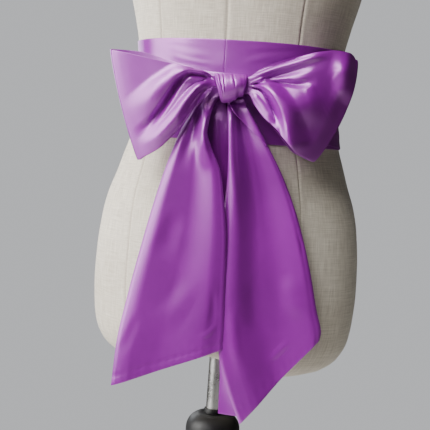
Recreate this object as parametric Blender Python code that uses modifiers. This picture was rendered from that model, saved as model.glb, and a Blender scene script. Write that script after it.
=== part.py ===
"""A satin sash, wound twice round a limbless dress form and tied in a bow, on the form's stand.

Metres, +Z up. The origin is the centre of the stand's underside and the form faces -Y.
The tables are in millimetres. The knot, loops and tails face a little to one side, so their
tables use the bow's own directions: across (to a viewer's right), forward and up.
"""
import math
from collections import namedtuple

import bmesh
import bpy
import numpy as np

MM = 0.001
GAP = 0.3           # between pieces that touch
CLOTH = 1.2         # turned double satin
KNOT_CLOTH = 1.6    # the folded wrap of the knot
FACING = math.radians(11.5)

# Dress form
FORM_ROUND = 2.2    # exponent of its rings, 2 being an ellipse
FORM_COLUMNS = 40
CAP_RADIUS = 50
CAP_HEIGHT = 22
CAP_EDGE = 3        # the small step at its foot
CAP_ROUND = 9       # the rounding of its top edge

# Stand
BASE_RADIUS = 160
BASE_EDGE = 8       # the height of its rim
BASE_RISE = 22      # the height of its middle
BASE_COLLAR = 26    # the flat middle that the tube stands on
BASE_SHOULDER = 34
EDGE = 2            # softened edges of the base, hub and collar
TUBE_RADIUS = 18
TUBE_TOP = 556
HUB_RADIUS = 36
HUB_SHOULDER = 568
HUB_TOP = 590
COLLAR_RADIUS = 13.5
COLLAR_TOP = 596
POLE_RADIUS = 11
TURN_STEPS = 28

# Sash
BAND_CLEAR = 0.6    # between the form and the first wrap, whose facets differ
WRAP_CLEAR = 0.8    # between the first wrap and the second

Ring = namedtuple("Ring", "up half_width front back")
FORM_RINGS = [
    Ring(662, 122, 76, 84),
    Ring(666, 134, 85, 94),
    Ring(672, 145, 93, 103),
    Ring(682, 156, 101, 113),
    Ring(704, 167, 107, 122),
    Ring(729, 171, 109, 126),
    Ring(765, 173, 110, 128),
    Ring(800, 172, 110, 128),
    Ring(848, 167, 109, 124),
    Ring(875, 161, 107, 118),
    Ring(903, 151, 104, 111),
    Ring(928, 143, 101, 105),
    Ring(950, 136, 98.5, 100),
    Ring(975, 131.5, 96.5, 96),
    Ring(1000, 129.5, 95.5, 93),
    Ring(1022, 129, 95, 92),
    Ring(1046, 130, 95.5, 92.5),
    Ring(1071, 133, 97, 94),
    Ring(1100, 139, 101, 97),
    Ring(1140, 149, 109, 101),
    Ring(1190, 158, 121, 107),
    Ring(1240, 165, 131, 111),
    Ring(1285, 169, 132, 113),
    Ring(1330, 171, 121, 110),
    Ring(1370, 172, 104, 101),
    Ring(1400, 166, 90, 90),
    Ring(1422, 148, 78, 80),
    Ring(1438, 118, 68, 70),
    Ring(1452, 84, 60, 62),
    Ring(1468, 62, 54, 56),
    Ring(1496, 54, 50, 52),
]

# A stretch of the outer wrap, by the turn round the form from its front, to the right.
Wrap = namedtuple("Wrap", "turn top low out")
WRAP_LEFT = [
    Wrap(12, 1029, 1007, 0),
    Wrap(4, 1032, 1003, 0),
    Wrap(-6, 1035, 996, 0),
    Wrap(-16, 1039, 984, 0),
    Wrap(-30, 1046, 969, 0),
    Wrap(-52, 1057, 956, 0),
    Wrap(-80, 1064, 952, 0),
    Wrap(-115, 1067, 951, 0),
    Wrap(-155, 1068, 952, 0),
    Wrap(-200, 1066, 954, 0),
]
WRAP_RIGHT = [
    Wrap(14.5, 1026, 1002, 0),
    Wrap(22, 1033, 991, 0),
    Wrap(32, 1041, 977, 0),
    Wrap(46, 1049, 964, 0),
    Wrap(64, 1057, 955, 0),
    Wrap(90, 1063, 952, 0),
    Wrap(125, 1066, 951, 0),
    Wrap(140, 1067, 951, 0),
    Wrap(154, 1067, 951, 2.8),
    Wrap(206, 1064, 956, 2.8),
]

# A fold along a piece: its place across and its rise at the piece's start, middle and end.
Fold = namedtuple("Fold", "start middle end rise_start rise_middle rise_end width")
WRAP_FOLDS = [
    Fold(0.18, 0.14, 0.12, 0.5, 1.2, 0.8, 0.10),
    Fold(0.42, 0.36, 0.30, 0.5, 1.4, 0.6, 0.12),
    Fold(0.66, 0.62, 0.60, 0.5, 1.3, 0.8, 0.12),
    Fold(0.88, 0.86, 0.84, 0.5, 1.0, 0.6, 0.10),
]

# A bow loop, from the knot to its outer fold: front layer's edges, and the gap to the back one.
Loop = namedtuple(
    "Loop", "along top_across top_up top_forward low_across low_up low_forward top_gap low_gap"
)
LOOP_LEFT = [
    Loop(0.00, -19, 1020, 126, -18, 1010, 127, 11, 5),
    Loop(0.06, -30, 1023, 127, -30, 1013, 128, 12, 5),
    Loop(0.14, -42, 1029, 128, -40, 1006, 130, 15, 5),
    Loop(0.28, -60, 1032, 128, -51, 987, 132, 18, 6),
    Loop(0.42, -78, 1035, 126, -63, 966, 131, 21, 8),
    Loop(0.56, -97, 1038, 122, -75, 952, 125, 22, 10),
    Loop(0.70, -114, 1041, 117, -88, 938, 116, 20, 11),
    Loop(0.84, -131, 1044, 111, -99, 930, 108, 16, 10),
    Loop(0.94, -144, 1046, 105, -107, 925, 102, 10, 7),
    Loop(1.00, -151, 1047, 101, -112, 921, 98, 6, 5),
]
LOOP_RIGHT = [
    Loop(0.00, 0, 1025, 126, 0, 1008, 128, 9, 5),
    Loop(0.07, 10, 1026, 127, 10, 1007, 129, 11, 5),
    Loop(0.16, 24, 1035, 127, 19, 994, 131, 14, 5),
    Loop(0.30, 45, 1044, 125, 30, 981, 133, 17, 6),
    Loop(0.45, 68, 1053, 120, 43, 970, 131, 20, 8),
    Loop(0.60, 90, 1060, 114, 56, 956, 126, 21, 10),
    Loop(0.75, 108, 1063, 109, 69, 943, 117, 20, 11),
    Loop(0.88, 123, 1062, 104, 81, 938, 108, 15, 10),
    Loop(0.95, 129, 1060, 100, 88, 935, 104, 10, 7),
    Loop(1.00, 133, 1056, 98, 92, 934, 102, 6, 5),
]
LOOP_LEFT_BOW = 4     # how far the outer fold bows out between its ends
LOOP_RIGHT_BOW = 12
LOOP_OPENS = 0.18     # the folds reach their full height this far along from the knot
TAIL_OPENS = 0.15
LOOP_CROWDING = 1.15  # above 1 the rows of faces lie closer together towards the knot
TAIL_CROWDING = 1.3
WRAP_CROWDING = 1.25
LOOP_LEFT_FOLDS = [
    Fold(0.15, 0.34, 0.62, 3, 10, 1.5, 0.26),
    Fold(0.42, 0.60, 0.80, -2, -5, -1, 0.20),
    Fold(0.70, 0.82, 0.93, 2, 6, 2, 0.20),
]
LOOP_RIGHT_FOLDS = [
    Fold(0.20, 0.15, 0.12, -2, -7, -1, 0.14),
    Fold(0.42, 0.34, 0.36, 3, 11, 3, 0.24),
    Fold(0.62, 0.86, 1.15, 3, 5, 0, 0.16),
    Fold(0.80, 0.99, 1.25, -1, -4, 0, 0.12),
    Fold(0.60, 0.66, 0.70, 0, 2, 2, 0.30),
]
LOOP_BACK_FOLDS = [
    Fold(0.30, 0.35, 0.40, -1, -4, -1, 0.30),
    Fold(0.70, 0.72, 0.75, 0, 2, 0, 0.25),
]

# The knot: sections of its rounded tube, square to across.
Knot = namedtuple("Knot", "top_across low_across forward up forward_radius up_radius")
KNOT = [
    Knot(-30.5, -21.0, 121.5, 1012.0, 17.5, 16.5),
    Knot(-26.0, -16.0, 122.2, 1011.5, 18.8, 17.0),
    Knot(-17.5, -10.0, 122.8, 1012.5, 19.2, 16.5),
    Knot(-8.0, -4.0, 123.0, 1014.0, 19.2, 15.0),
    Knot(1.0, 0.0, 122.8, 1016.0, 18.8, 13.2),
    Knot(8.5, 5.5, 122.2, 1016.5, 17.5, 12.5),
]
KNOT_CREASES = [
    Fold(0.14, 0.22, 0.30, 0.8, -1.2, 0.6, 0.10),
    Fold(0.58, 0.62, 0.66, 0.6, -1.2, 0.6, 0.08),
]

# A tail or pleat, from the knot down: its two edges in the bow's own directions.
Tail = namedtuple(
    "Tail", "along left_across left_up left_forward right_across right_up right_forward"
)
TAIL_LEFT = [
    Tail(0.00, -30, 1017, 101.4, -15, 1012, 102.0),
    Tail(0.03, -35, 1008, 102.4, -22, 1003, 102.8),
    Tail(0.05, -40, 1002, 108.0, -26, 997, 107.0),
    Tail(0.07, -45, 996, 114.5, -29, 991, 114.0),
    Tail(0.10, -51, 987, 119.0, -31, 984, 119.0),
    Tail(0.17, -62, 966, 121.5, -34, 960, 121.5),
    Tail(0.23, -69, 948, 121.0, -29, 944, 121.0),
    Tail(0.34, -79, 917, 121.0, -15, 913, 120.0),
    Tail(0.46, -89, 880, 121.0, -8, 876, 119.0),
    Tail(0.60, -102, 822, 122.0, -2, 831, 119.0),
    Tail(0.74, -114, 762, 122.0, 0, 788, 119.0),
    Tail(0.88, -124, 701, 123.0, 2, 742, 120.0),
    Tail(1.00, -127, 649, 124.0, 3, 704, 121.0),
]
TAIL_LEFT_FOLDS = [
    Fold(0.66, 0.66, 0.55, 4.0, 5.0, 1.5, 0.30),
    Fold(0.34, 0.36, 0.32, -2.0, -4.0, -1.0, 0.24),
    Fold(0.08, 0.12, 0.10, 1.0, 3.5, 1.0, 0.20),
    Fold(1.00, 0.98, 0.96, -3.0, -2.0, 0.5, 0.20),
]
TAIL_RIGHT = [
    Tail(0.00, -12, 1013, 102.0, 4, 1013, 102.4),
    Tail(0.03, -12, 1001, 102.6, 6, 1003, 102.9),
    Tail(0.045, -12, 996, 107.0, 8, 999, 106.0),
    Tail(0.06, -12, 991, 114.0, 10, 994, 112.0),
    Tail(0.085, -11, 982, 119.5, 15, 985, 116.0),
    Tail(0.12, -10, 971, 121.5, 22, 974, 117.0),
    Tail(0.20, -8, 948, 122.0, 38, 948, 117.0),
    Tail(0.32, -5, 908, 122.0, 61, 908, 117.0),
    Tail(0.46, -4, 855, 122.0, 83, 856, 118.0),
    Tail(0.60, -2, 797, 122.0, 100, 801, 118.0),
    Tail(0.74, -2, 738, 122.0, 111, 757, 118.0),
    Tail(0.84, 0, 694, 122.0, 117, 738, 118.0),
    Tail(0.93, 14, 652, 122.0, 118, 731, 118.0),
    Tail(1.00, 30, 615, 123.0, 117, 723, 118.0),
]
TAIL_RIGHT_FOLDS = [
    Fold(0.22, 0.12, 0.06, 2.0, 4.0, 1.0, 0.16),
    Fold(0.50, 0.30, 0.24, -2.0, -5.0, -1.5, 0.20),
    Fold(0.80, 0.62, 0.58, 2.0, 3.0, 2.0, 0.30),
    Fold(1.00, 1.00, 1.00, -1.0, -3.0, -2.0, 0.20),
]
TAIL_LEFT_PLEAT = [
    Tail(0.00, -27, 1000.8, 102.7, -14, 998, 102.3),
    Tail(0.06, -29, 986, 103.0, -9, 984, 105.0),
    Tail(0.10, -30, 975, 106.0, -6, 972, 108.0),
    Tail(0.20, -30, 948, 110.0, -2, 946, 111.5),
    Tail(0.36, -24, 900, 111.5, 0, 898, 112.5),
    Tail(0.60, -15, 830, 113.2, 3, 828, 113.8),
    Tail(0.82, -10, 765, 113.8, 5, 763, 114.2),
    Tail(1.00, -8, 712, 114.5, 6, 706, 115.0),
]
TAIL_LEFT_PLEAT_FOLDS = [
    Fold(0.55, 0.55, 0.50, 1.5, 1.2, 0.5, 0.35),
]

# The right tail's edge, turned over on its front below the knot: places along and across the tail.
Overlay = namedtuple("Overlay", "along inner inner_lift outer_lift")
TAIL_RIGHT_OVERLAY = [
    Overlay(0.050, 0.35, 2.4, 2.4),
    Overlay(0.070, 0.14, 3.5, 2.2),
    Overlay(0.095, 0.38, 4.0, 1.4),
    Overlay(0.140, 0.70, 3.5, 0.5),
    Overlay(0.175, 0.88, 2.0, 0.1),
    Overlay(0.198, 0.96, 0.6, 0.0),
]

# The right tail's lower left edge, curled behind it: where it starts and its free edge.
Curl = namedtuple("Curl", "along free_across free_up free_forward")
TAIL_RIGHT_CURL = [
    Curl(0.85, -2.0, 689, 119.5),
    Curl(0.90, 0, 668, 118.0),
    Curl(0.95, 3, 643, 118.0),
    Curl(0.985, 5, 624, 118.5),
]
CURL_UNDER = 0.012    # how far across the tail the curl lies behind it

Cells = namedtuple("Cells", "along across")
TAIL_CELLS = Cells(22, 16)
PLEAT_CELLS = Cells(12, 5)
LOOP_CELLS = Cells(12, 14)
BEND_CELLS = 4
KNOT_CELLS = Cells(7, 24)
WRAP_CELLS = Cells(26, 9)
BAND_ROWS = [950, 975, 1000, 1022, 1046, 1071]

Finish = namedtuple("Finish", "colour roughness metallic")
SATIN = Finish((0.27, 0.06, 0.33), 0.32, 0.0)
SATIN_DEEP = Finish((0.20, 0.03, 0.26), 0.32, 0.0)
LINEN = Finish((0.62, 0.57, 0.48), 0.85, 0.0)
BLACK = Finish((0.015, 0.015, 0.016), 0.35, 0.0)
CHROME = Finish((0.62, 0.62, 0.64), 0.12, 1.0)


def clear_scene():
    for obj in list(bpy.data.objects):
        bpy.data.objects.remove(obj, do_unlink=True)


def new_collection(name):
    collection = bpy.data.collections.new(name)
    bpy.context.scene.collection.children.link(collection)
    return collection


def material(name, finish):
    made = bpy.data.materials.new(name)
    made.use_nodes = True
    shader = made.node_tree.nodes["Principled BSDF"]
    shader.inputs["Base Color"].default_value = (*finish.colour, 1.0)
    shader.inputs["Roughness"].default_value = finish.roughness
    shader.inputs["Metallic"].default_value = finish.metallic
    return made


def add_object(name, mesh, finish, collection):
    obj = bpy.data.objects.new(name, mesh)
    mesh.materials.append(material(name + "_finish", finish))
    mesh.shade_smooth()
    collection.objects.link(obj)
    return obj


def facing(across, forward, up):
    """The bow's own directions, in millimetres, as points of the part in metres."""
    x = across * math.cos(FACING) + forward * math.sin(FACING)
    y = across * math.sin(FACING) - forward * math.cos(FACING)
    return np.stack([x, y, up + 0 * x], axis=-1) * MM


def through(stations, values, at):
    """A smooth curve through values at rising stations, which never overshoots them."""
    stations = np.asarray(stations, float)
    values = np.asarray(values, float)
    steps = np.diff(stations)
    slopes = np.diff(values) / steps
    tangents = np.concatenate([slopes[:1], slopes, slopes[-1:]])
    before = tangents[:-1]
    after = tangents[1:]
    agree = before * after > 0
    mean = 2 * before * after / np.where(agree, before + after, 1)
    tangents = np.where(agree, mean, 0)
    tangents[0] = slopes[0]
    tangents[-1] = slopes[-1]
    at = np.clip(at, stations[0], stations[-1])
    k = np.clip(np.searchsorted(stations, at, side="right") - 1, 0, len(steps) - 1)
    t = (at - stations[k]) / steps[k]
    start = values[k] * (1 + 2 * t) * (1 - t) ** 2 + tangents[k] * steps[k] * t * (1 - t) ** 2
    end = values[k + 1] * t ** 2 * (3 - 2 * t) + tangents[k + 1] * steps[k] * t ** 2 * (t - 1)
    return start + end


def column(rows, name, at):
    """One named column of a table, at places along its first column."""
    first = [row[0] for row in rows]
    values = [getattr(row, name) for row in rows]
    if first[0] > first[-1]:
        first = [-value for value in first]
        at = -np.asarray(at, float)
    return through(first, values, at)


def fold_height(folds, along, across):
    """How far the folds raise the cloth at places along and across it, both from 0 to 1."""
    height = 0 * along + 0 * across
    for fold in folds:
        place = through([0, 0.5, 1], [fold.start, fold.middle, fold.end], along)
        rise = through([0, 0.5, 1], [fold.rise_start, fold.rise_middle, fold.rise_end], along)
        away = np.clip(np.abs(across - place) / fold.width, 0, 1)
        height = height + rise * np.cos(away * math.pi / 2) ** 2
    return height


def form_point(turn, up, out):
    """A point on the dress form or out from it, in metres. The turn is in degrees from its front."""
    heights = [ring.up for ring in FORM_RINGS]
    half = through(heights, [ring.half_width for ring in FORM_RINGS], up) + out
    front = through(heights, [ring.front for ring in FORM_RINGS], up) + out
    back = through(heights, [ring.back for ring in FORM_RINGS], up) + out
    side = np.sin(np.radians(turn))
    ahead = np.cos(np.radians(turn))
    x = half * np.sign(side) * np.abs(side) ** (2 / FORM_ROUND)
    depth = np.where(ahead > 0, front, back)
    y = -depth * np.sign(ahead) * np.abs(ahead) ** (2 / FORM_ROUND)
    return np.stack([x, y, up + 0 * x], axis=-1) * MM


def sheet_mesh(name, points, closed_across=False):
    """A surface of four-sided faces on a grid of points, along by across."""
    along, across = points.shape[:2]
    faces = []
    for i in range(along - 1):
        for j in range(across if closed_across else across - 1):
            k = (j + 1) % across
            faces.append((i * across + j, i * across + k, (i + 1) * across + k, (i + 1) * across + j))
    mesh = bpy.data.meshes.new(name)
    mesh.from_pydata(points.reshape(-1, 3).tolist(), [], faces)
    mesh.update()
    return mesh


def add_cloth(name, points, thickness, side, finish, collection, closed_across=False):
    """A wall of cloth. Side is 0 when the points run through its middle, 1 when it grows outwards."""
    mesh = sheet_mesh(name, points, closed_across)
    obj = add_object(name, mesh, finish, collection)
    wall = obj.modifiers.new("Cloth wall", "SOLIDIFY")
    wall.thickness = thickness * MM
    wall.offset = side
    return obj


def add_turned(name, profile, finish, collection):
    """A turned piece, from a profile of (radius, up) that runs down its outer side."""
    mesh = bpy.data.meshes.new(name)
    points = [(radius * MM, 0, up * MM) for radius, up in profile]
    edges = [(i, i + 1) for i in range(len(points) - 1)]
    mesh.from_pydata(points, edges, [])
    obj = add_object(name, mesh, finish, collection)
    turn = obj.modifiers.new("Turn", "SCREW")
    turn.steps = TURN_STEPS
    turn.render_steps = TURN_STEPS
    turn.use_merge_vertices = True
    turn.merge_threshold = 0.00001
    return obj


def quarter(centre_radius, centre_up, radius, rise, steps):
    """A quarter of an ellipse in a turned profile, from its top out to its side."""
    points = []
    for angle in np.linspace(math.pi / 2, 0, steps):
        points.append((centre_radius + radius * math.cos(angle), centre_up + rise * math.sin(angle)))
    return points


def add_form(collection):
    """The limbless body, a loft through its rings, and the flat cap on its neck."""
    turns = np.arange(FORM_COLUMNS) * 360 / FORM_COLUMNS
    rings = [form_point(turns, ring.up, 0) for ring in FORM_RINGS]
    mesh = sheet_mesh("dress_form_body", np.array(rings), closed_across=True)
    body = bmesh.new()
    body.from_mesh(mesh)
    bmesh.ops.holes_fill(body, edges=[edge for edge in body.edges if edge.is_boundary], sides=0)
    bmesh.ops.recalc_face_normals(body, faces=body.faces)
    body.to_mesh(mesh)
    body.free()
    add_object("dress_form_body", mesh, LINEN, collection)

    seat = FORM_RINGS[-1].up + GAP
    top = seat + CAP_HEIGHT
    profile = [(0, top)]
    profile += quarter(CAP_RADIUS - CAP_ROUND, top - CAP_ROUND, CAP_ROUND, CAP_ROUND, 4)
    profile += [(CAP_RADIUS, seat + CAP_EDGE), (CAP_RADIUS - EDGE, seat), (0, seat)]
    add_turned("dress_form_neck_cap", profile, BLACK, collection)


def add_stand(collection):
    """Base, tube, domed hub, collar and the chrome pole that carries the form."""
    base = [(0, BASE_RISE), (BASE_COLLAR, BASE_RISE), (BASE_SHOULDER, BASE_RISE - EDGE)]
    base += [(BASE_RADIUS - EDGE, BASE_EDGE), (BASE_RADIUS, BASE_EDGE - EDGE)]
    base += [(BASE_RADIUS, 0), (0, 0)]
    add_turned("stand_base", base, BLACK, collection)

    foot = BASE_RISE + GAP
    tube = [(0, TUBE_TOP), (TUBE_RADIUS, TUBE_TOP), (TUBE_RADIUS, foot), (0, foot)]
    add_turned("stand_tube", tube, BLACK, collection)

    hub_foot = TUBE_TOP + GAP
    flat = COLLAR_RADIUS + EDGE
    hub = [(0, HUB_TOP)]
    hub += quarter(flat, HUB_SHOULDER, HUB_RADIUS - flat, HUB_TOP - HUB_SHOULDER, 7)
    hub += [(HUB_RADIUS, hub_foot + EDGE), (HUB_RADIUS - EDGE, hub_foot), (0, hub_foot)]
    add_turned("stand_hub", hub, BLACK, collection)

    collar_foot = HUB_TOP + GAP
    collar = [(0, COLLAR_TOP), (COLLAR_RADIUS - EDGE, COLLAR_TOP), (COLLAR_RADIUS, COLLAR_TOP - EDGE)]
    collar += [(COLLAR_RADIUS, collar_foot), (0, collar_foot)]
    add_turned("stand_collar", collar, BLACK, collection)

    top = FORM_RINGS[0].up - GAP
    low = COLLAR_TOP + GAP
    pole = [(0, top), (POLE_RADIUS, top), (POLE_RADIUS, low), (0, low)]
    add_turned("stand_pole", pole, CHROME, collection)


def add_bands(collection):
    """The first wrap, in two halves that meet at the centre front seam and at the back."""
    columns = FORM_COLUMNS // 2
    waist = min(ring.half_width for ring in FORM_RINGS if BAND_ROWS[0] < ring.up < BAND_ROWS[-1])
    seam = math.degrees(math.asin((GAP / 2 / waist) ** (FORM_ROUND / 2)))
    for name, sign in (("band_left", -1), ("band_right", 1)):
        turns = np.linspace(0, 180, columns + 1)
        turns[0] = seam
        turns[-1] = 180 - seam
        up = np.array(BAND_ROWS, float)[:, None]
        points = form_point(sign * turns[None, :], up, BAND_CLEAR)
        if sign < 0:
            points = points[:, ::-1]
        add_cloth(name, points, CLOTH, 1, SATIN, collection)


def add_wraps(collection):
    """The second wrap: each end crosses at the back and is gathered into the knot in front."""
    for name, rows, sign in (("wrap_left", WRAP_LEFT, -1), ("wrap_right", WRAP_RIGHT, 1)):
        along = np.linspace(0, 1, WRAP_CELLS.along + 1) ** WRAP_CROWDING
        turns = rows[0].turn + (rows[-1].turn - rows[0].turn) * along
        across = np.linspace(0, 1, WRAP_CELLS.across + 1)[:, None]
        top = column(rows, "top", turns)
        low = column(rows, "low", turns)
        out = BAND_CLEAR + CLOTH + WRAP_CLEAR + column(rows, "out", turns)
        folds = fold_height(WRAP_FOLDS, along[None, :] + 0 * across, across)
        points = form_point(turns[None, :], top + (low - top) * across, out + folds)
        if sign > 0:
            points = points[:, ::-1]
        add_cloth(name, points, CLOTH, 1, SATIN_DEEP, collection)


def loop_points(rows, bow, front_folds):
    """A strip that leaves the knot, turns back on itself at the outer fold and comes back."""
    out = np.linspace(0, 1, LOOP_CELLS.along + 1) ** LOOP_CROWDING
    bend = np.linspace(0, math.pi, BEND_CELLS + 2)[1:-1]
    along = np.concatenate([out, np.ones(len(bend)), out[::-1]])[:, None]
    turn = np.concatenate([0 * out, bend, 0 * out + math.pi])[:, None]
    across = np.linspace(0, 1, LOOP_CELLS.across + 1)[None, :]
    front = {}
    for name in Loop._fields[1:]:
        front[name] = column(rows, name, along)
    gap = front["top_gap"] + (front["low_gap"] - front["top_gap"]) * across
    side = front["top_across"] + (front["low_across"] - front["top_across"]) * across
    up = front["top_up"] + (front["low_up"] - front["top_up"]) * across
    forward = front["top_forward"] + (front["low_forward"] - front["top_forward"]) * across
    outwards = np.sign(rows[-1].top_across)
    bulge = np.clip(np.sin(math.pi * across), 0, 1) ** 0.7 * along ** 3
    reach = np.sin(turn) * gap / 2 + bow * bulge
    back = (1 - np.cos(turn)) / 2
    opened = np.clip(along / LOOP_OPENS, 0, 1)
    raised = opened * fold_height(front_folds, along + 0 * across, across + 0 * along)
    hollow = opened * fold_height(LOOP_BACK_FOLDS, along + 0 * across, across + 0 * along)
    forward = forward - back * gap + (1 - back) * raised + back * hollow
    return facing(side + outwards * reach, forward, up)


def add_loops(collection):
    """The two bow loops, each open at its top and its foot."""
    left = loop_points(LOOP_LEFT, LOOP_LEFT_BOW, LOOP_LEFT_FOLDS)
    add_cloth("loop_left", left, CLOTH, 0, SATIN, collection)
    right = loop_points(LOOP_RIGHT, LOOP_RIGHT_BOW, LOOP_RIGHT_FOLDS)
    add_cloth("loop_right", right, CLOTH, 0, SATIN, collection)


def add_knot(collection):
    """The wrap round the middle, a flattened tube whose left end is cut at a slant."""
    stations = np.linspace(0, 1, len(KNOT))
    along = np.linspace(0, 1, KNOT_CELLS.along + 1)[:, None]
    angle = (np.arange(KNOT_CELLS.across) * 2 * math.pi / KNOT_CELLS.across)[None, :]
    section = {}
    for name in Knot._fields:
        section[name] = through(stations, [getattr(row, name) for row in KNOT], along)
    high = (1 + np.sin(angle)) / 2
    side = section["low_across"] + (section["top_across"] - section["low_across"]) * high
    front = np.clip(np.cos(angle), 0, 1)
    crease = fold_height(KNOT_CREASES, (1 - high) + 0 * along, along + 0 * high) * front
    forward = section["forward"] + (section["forward_radius"] + crease) * np.cos(angle)
    up = section["up"] + section["up_radius"] * np.sin(angle)
    points = facing(side, forward, up)[::-1]
    add_cloth("knot", points, KNOT_CLOTH, -1, SATIN, collection, closed_across=True)


def tail_place(rows, folds, along, across):
    """Where a tail lies, in the bow's own directions, at places along and across it."""
    edge = {}
    for name in Tail._fields[1:]:
        edge[name] = column(rows, name, along)
    side = edge["left_across"] + (edge["right_across"] - edge["left_across"]) * across
    up = edge["left_up"] + (edge["right_up"] - edge["left_up"]) * across
    forward = edge["left_forward"] + (edge["right_forward"] - edge["left_forward"]) * across
    opened = np.clip(along / TAIL_OPENS, 0, 1)
    forward = forward + opened * fold_height(folds, along + 0 * across, across + 0 * along)
    return side, forward, up


def tail_points(rows, folds, cells):
    along = np.linspace(0, 1, cells.along + 1)[:, None] ** TAIL_CROWDING
    across = np.linspace(0, 1, cells.across + 1)[None, :]
    return facing(*tail_place(rows, folds, along, across))


def overlay_points(rows, cells):
    """The turned edge, made from the right tail's own points, moved out in front of it."""
    stations = np.linspace(rows[0].along, rows[-1].along, cells.along + 1)[:, None]
    part = np.linspace(0, 1, cells.across + 1)[None, :]
    inner = column(rows, "inner", stations)
    across = inner + (1 - inner) * part
    side, forward, up = tail_place(TAIL_RIGHT, TAIL_RIGHT_FOLDS, stations, across)
    inner_lift = column(rows, "inner_lift", stations) * (1 - part)
    outer_lift = column(rows, "outer_lift", stations) * part
    return facing(side, forward + CLOTH + GAP + inner_lift + outer_lift, up)


def curl_points(rows, cells):
    """The curled edge, from just behind the right tail's own points to its free edge."""
    stations = np.linspace(rows[0].along, rows[-1].along, cells.along + 1)[:, None]
    part = np.linspace(0, 1, cells.across + 1)[None, :]
    side, forward, up = tail_place(TAIL_RIGHT, TAIL_RIGHT_FOLDS, stations, CURL_UNDER)
    forward = forward - CLOTH - GAP
    side = column(rows, "free_across", stations) * (1 - part) + side * part
    forward = column(rows, "free_forward", stations) * (1 - part) + forward * part
    up = column(rows, "free_up", stations) * (1 - part) + up * part
    return facing(side, forward, up)


def add_tails(collection):
    """The two hanging ends and the folds that show beside and behind them."""
    pieces = (
        ("tail_left", TAIL_LEFT, TAIL_LEFT_FOLDS, TAIL_CELLS, SATIN),
        ("tail_left_pleat", TAIL_LEFT_PLEAT, TAIL_LEFT_PLEAT_FOLDS, PLEAT_CELLS, SATIN_DEEP),
        ("tail_right", TAIL_RIGHT, TAIL_RIGHT_FOLDS, TAIL_CELLS, SATIN),
    )
    for name, rows, folds, cells, finish in pieces:
        add_cloth(name, tail_points(rows, folds, cells), CLOTH, 0, finish, collection)
    overlay = overlay_points(TAIL_RIGHT_OVERLAY, PLEAT_CELLS)
    add_cloth("tail_right_overlay", overlay, CLOTH, 0, SATIN_DEEP, collection)
    curl = curl_points(TAIL_RIGHT_CURL, PLEAT_CELLS)
    add_cloth("tail_right_turn_back", curl, CLOTH, 0, SATIN_DEEP, collection)


def main():
    clear_scene()
    parts = new_collection("satin_sash_on_dress_form")
    add_form(parts)
    add_stand(parts)
    add_bands(parts)
    add_wraps(parts)
    add_knot(parts)
    add_loops(parts)
    add_tails(parts)


main()
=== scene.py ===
import math

import bmesh
import bpy
import numpy as np
from mathutils import Matrix, Vector


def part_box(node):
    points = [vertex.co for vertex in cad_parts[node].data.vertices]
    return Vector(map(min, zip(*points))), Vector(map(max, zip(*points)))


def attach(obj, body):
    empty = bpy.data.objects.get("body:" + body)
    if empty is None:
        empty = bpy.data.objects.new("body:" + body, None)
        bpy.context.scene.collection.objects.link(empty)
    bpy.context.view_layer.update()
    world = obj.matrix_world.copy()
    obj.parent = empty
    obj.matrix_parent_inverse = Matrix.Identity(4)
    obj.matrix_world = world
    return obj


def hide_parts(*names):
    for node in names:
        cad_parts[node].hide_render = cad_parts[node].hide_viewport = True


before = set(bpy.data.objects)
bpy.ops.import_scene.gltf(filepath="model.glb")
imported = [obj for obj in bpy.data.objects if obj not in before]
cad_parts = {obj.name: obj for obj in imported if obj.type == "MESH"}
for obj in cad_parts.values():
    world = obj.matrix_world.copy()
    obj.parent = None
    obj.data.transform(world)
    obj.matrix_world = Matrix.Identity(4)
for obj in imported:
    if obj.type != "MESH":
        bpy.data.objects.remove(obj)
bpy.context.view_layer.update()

# Tables are in millimetres. The bow faces a little to one side, so its tables use its own
# directions: across (to a viewer's right), forward and up.
mm = 0.001
bowTurn = math.radians(11.5)
clothWall = 1.2       # turned double satin
formRound = 2.2       # exponent of the form's rings, 2 being an ellipse
bandClear = 0.6       # between the form and the first wrap
wrapClear = 0.8       # between the first wrap and the second
softLanding = 1.2     # how gently the bow's cloth comes down on the form
foldGap = 0.3         # between a tail and what is folded over or under it


print("camera, light and floor")

cameraLook = {
    "place": (0.2199, -1.1696, 0.945),
    "forward": (-0.19878, 0.97704, -0.07672),
    "top": (-0.08702, 0.06038, 0.99438),
    "lens": 76.0,
}
roomLook = {
    "air": (0.84, 0.81, 0.78),
    "airStrength": 0.052,
    "backdrop": (0.56, 0.57, 0.59),
    "floorColour": (0.80, 0.79, 0.77),
    "floorRoughness": 0.7,
    "floorSize": 2.4,
}
lamps = [
    {"name": "windowLeft", "place": (-1.8, -0.9, 1.35), "size": 1.9, "power": 76, "tint": (1.0, 0.99, 0.97)},
    {"name": "skylight", "place": (-0.88, -1.3, 2.6), "size": 1.7, "power": 112, "tint": (1.0, 0.99, 0.98)},
    {"name": "windowBehind", "place": (-1.3, 1.3, 1.5), "size": 1.4, "power": 18, "tint": (0.93, 0.96, 1.0)},
    {"name": "frontFill", "place": (0.9, -2.4, 2.1), "size": 1.6, "power": 2, "tint": (1.0, 0.98, 0.97)},
]
lampAim = (0, 0, 0.95)      # every lamp points here, below the bow


def addCamera(look):
    forward = Vector(look["forward"]).normalized()
    top = Vector(look["top"])
    top = (top - forward * top.dot(forward)).normalized()
    right = forward.cross(top)
    camera = bpy.data.objects.new("photoCamera", bpy.data.cameras.new("photoCamera"))
    turn = Matrix((right, top, -forward)).transposed()
    camera.matrix_world = Matrix.Translation(look["place"]) @ turn.to_4x4()
    camera.data.lens = look["lens"]
    camera.data.sensor_width = 36
    bpy.context.collection.objects.link(camera)
    bpy.context.scene.camera = camera


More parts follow.
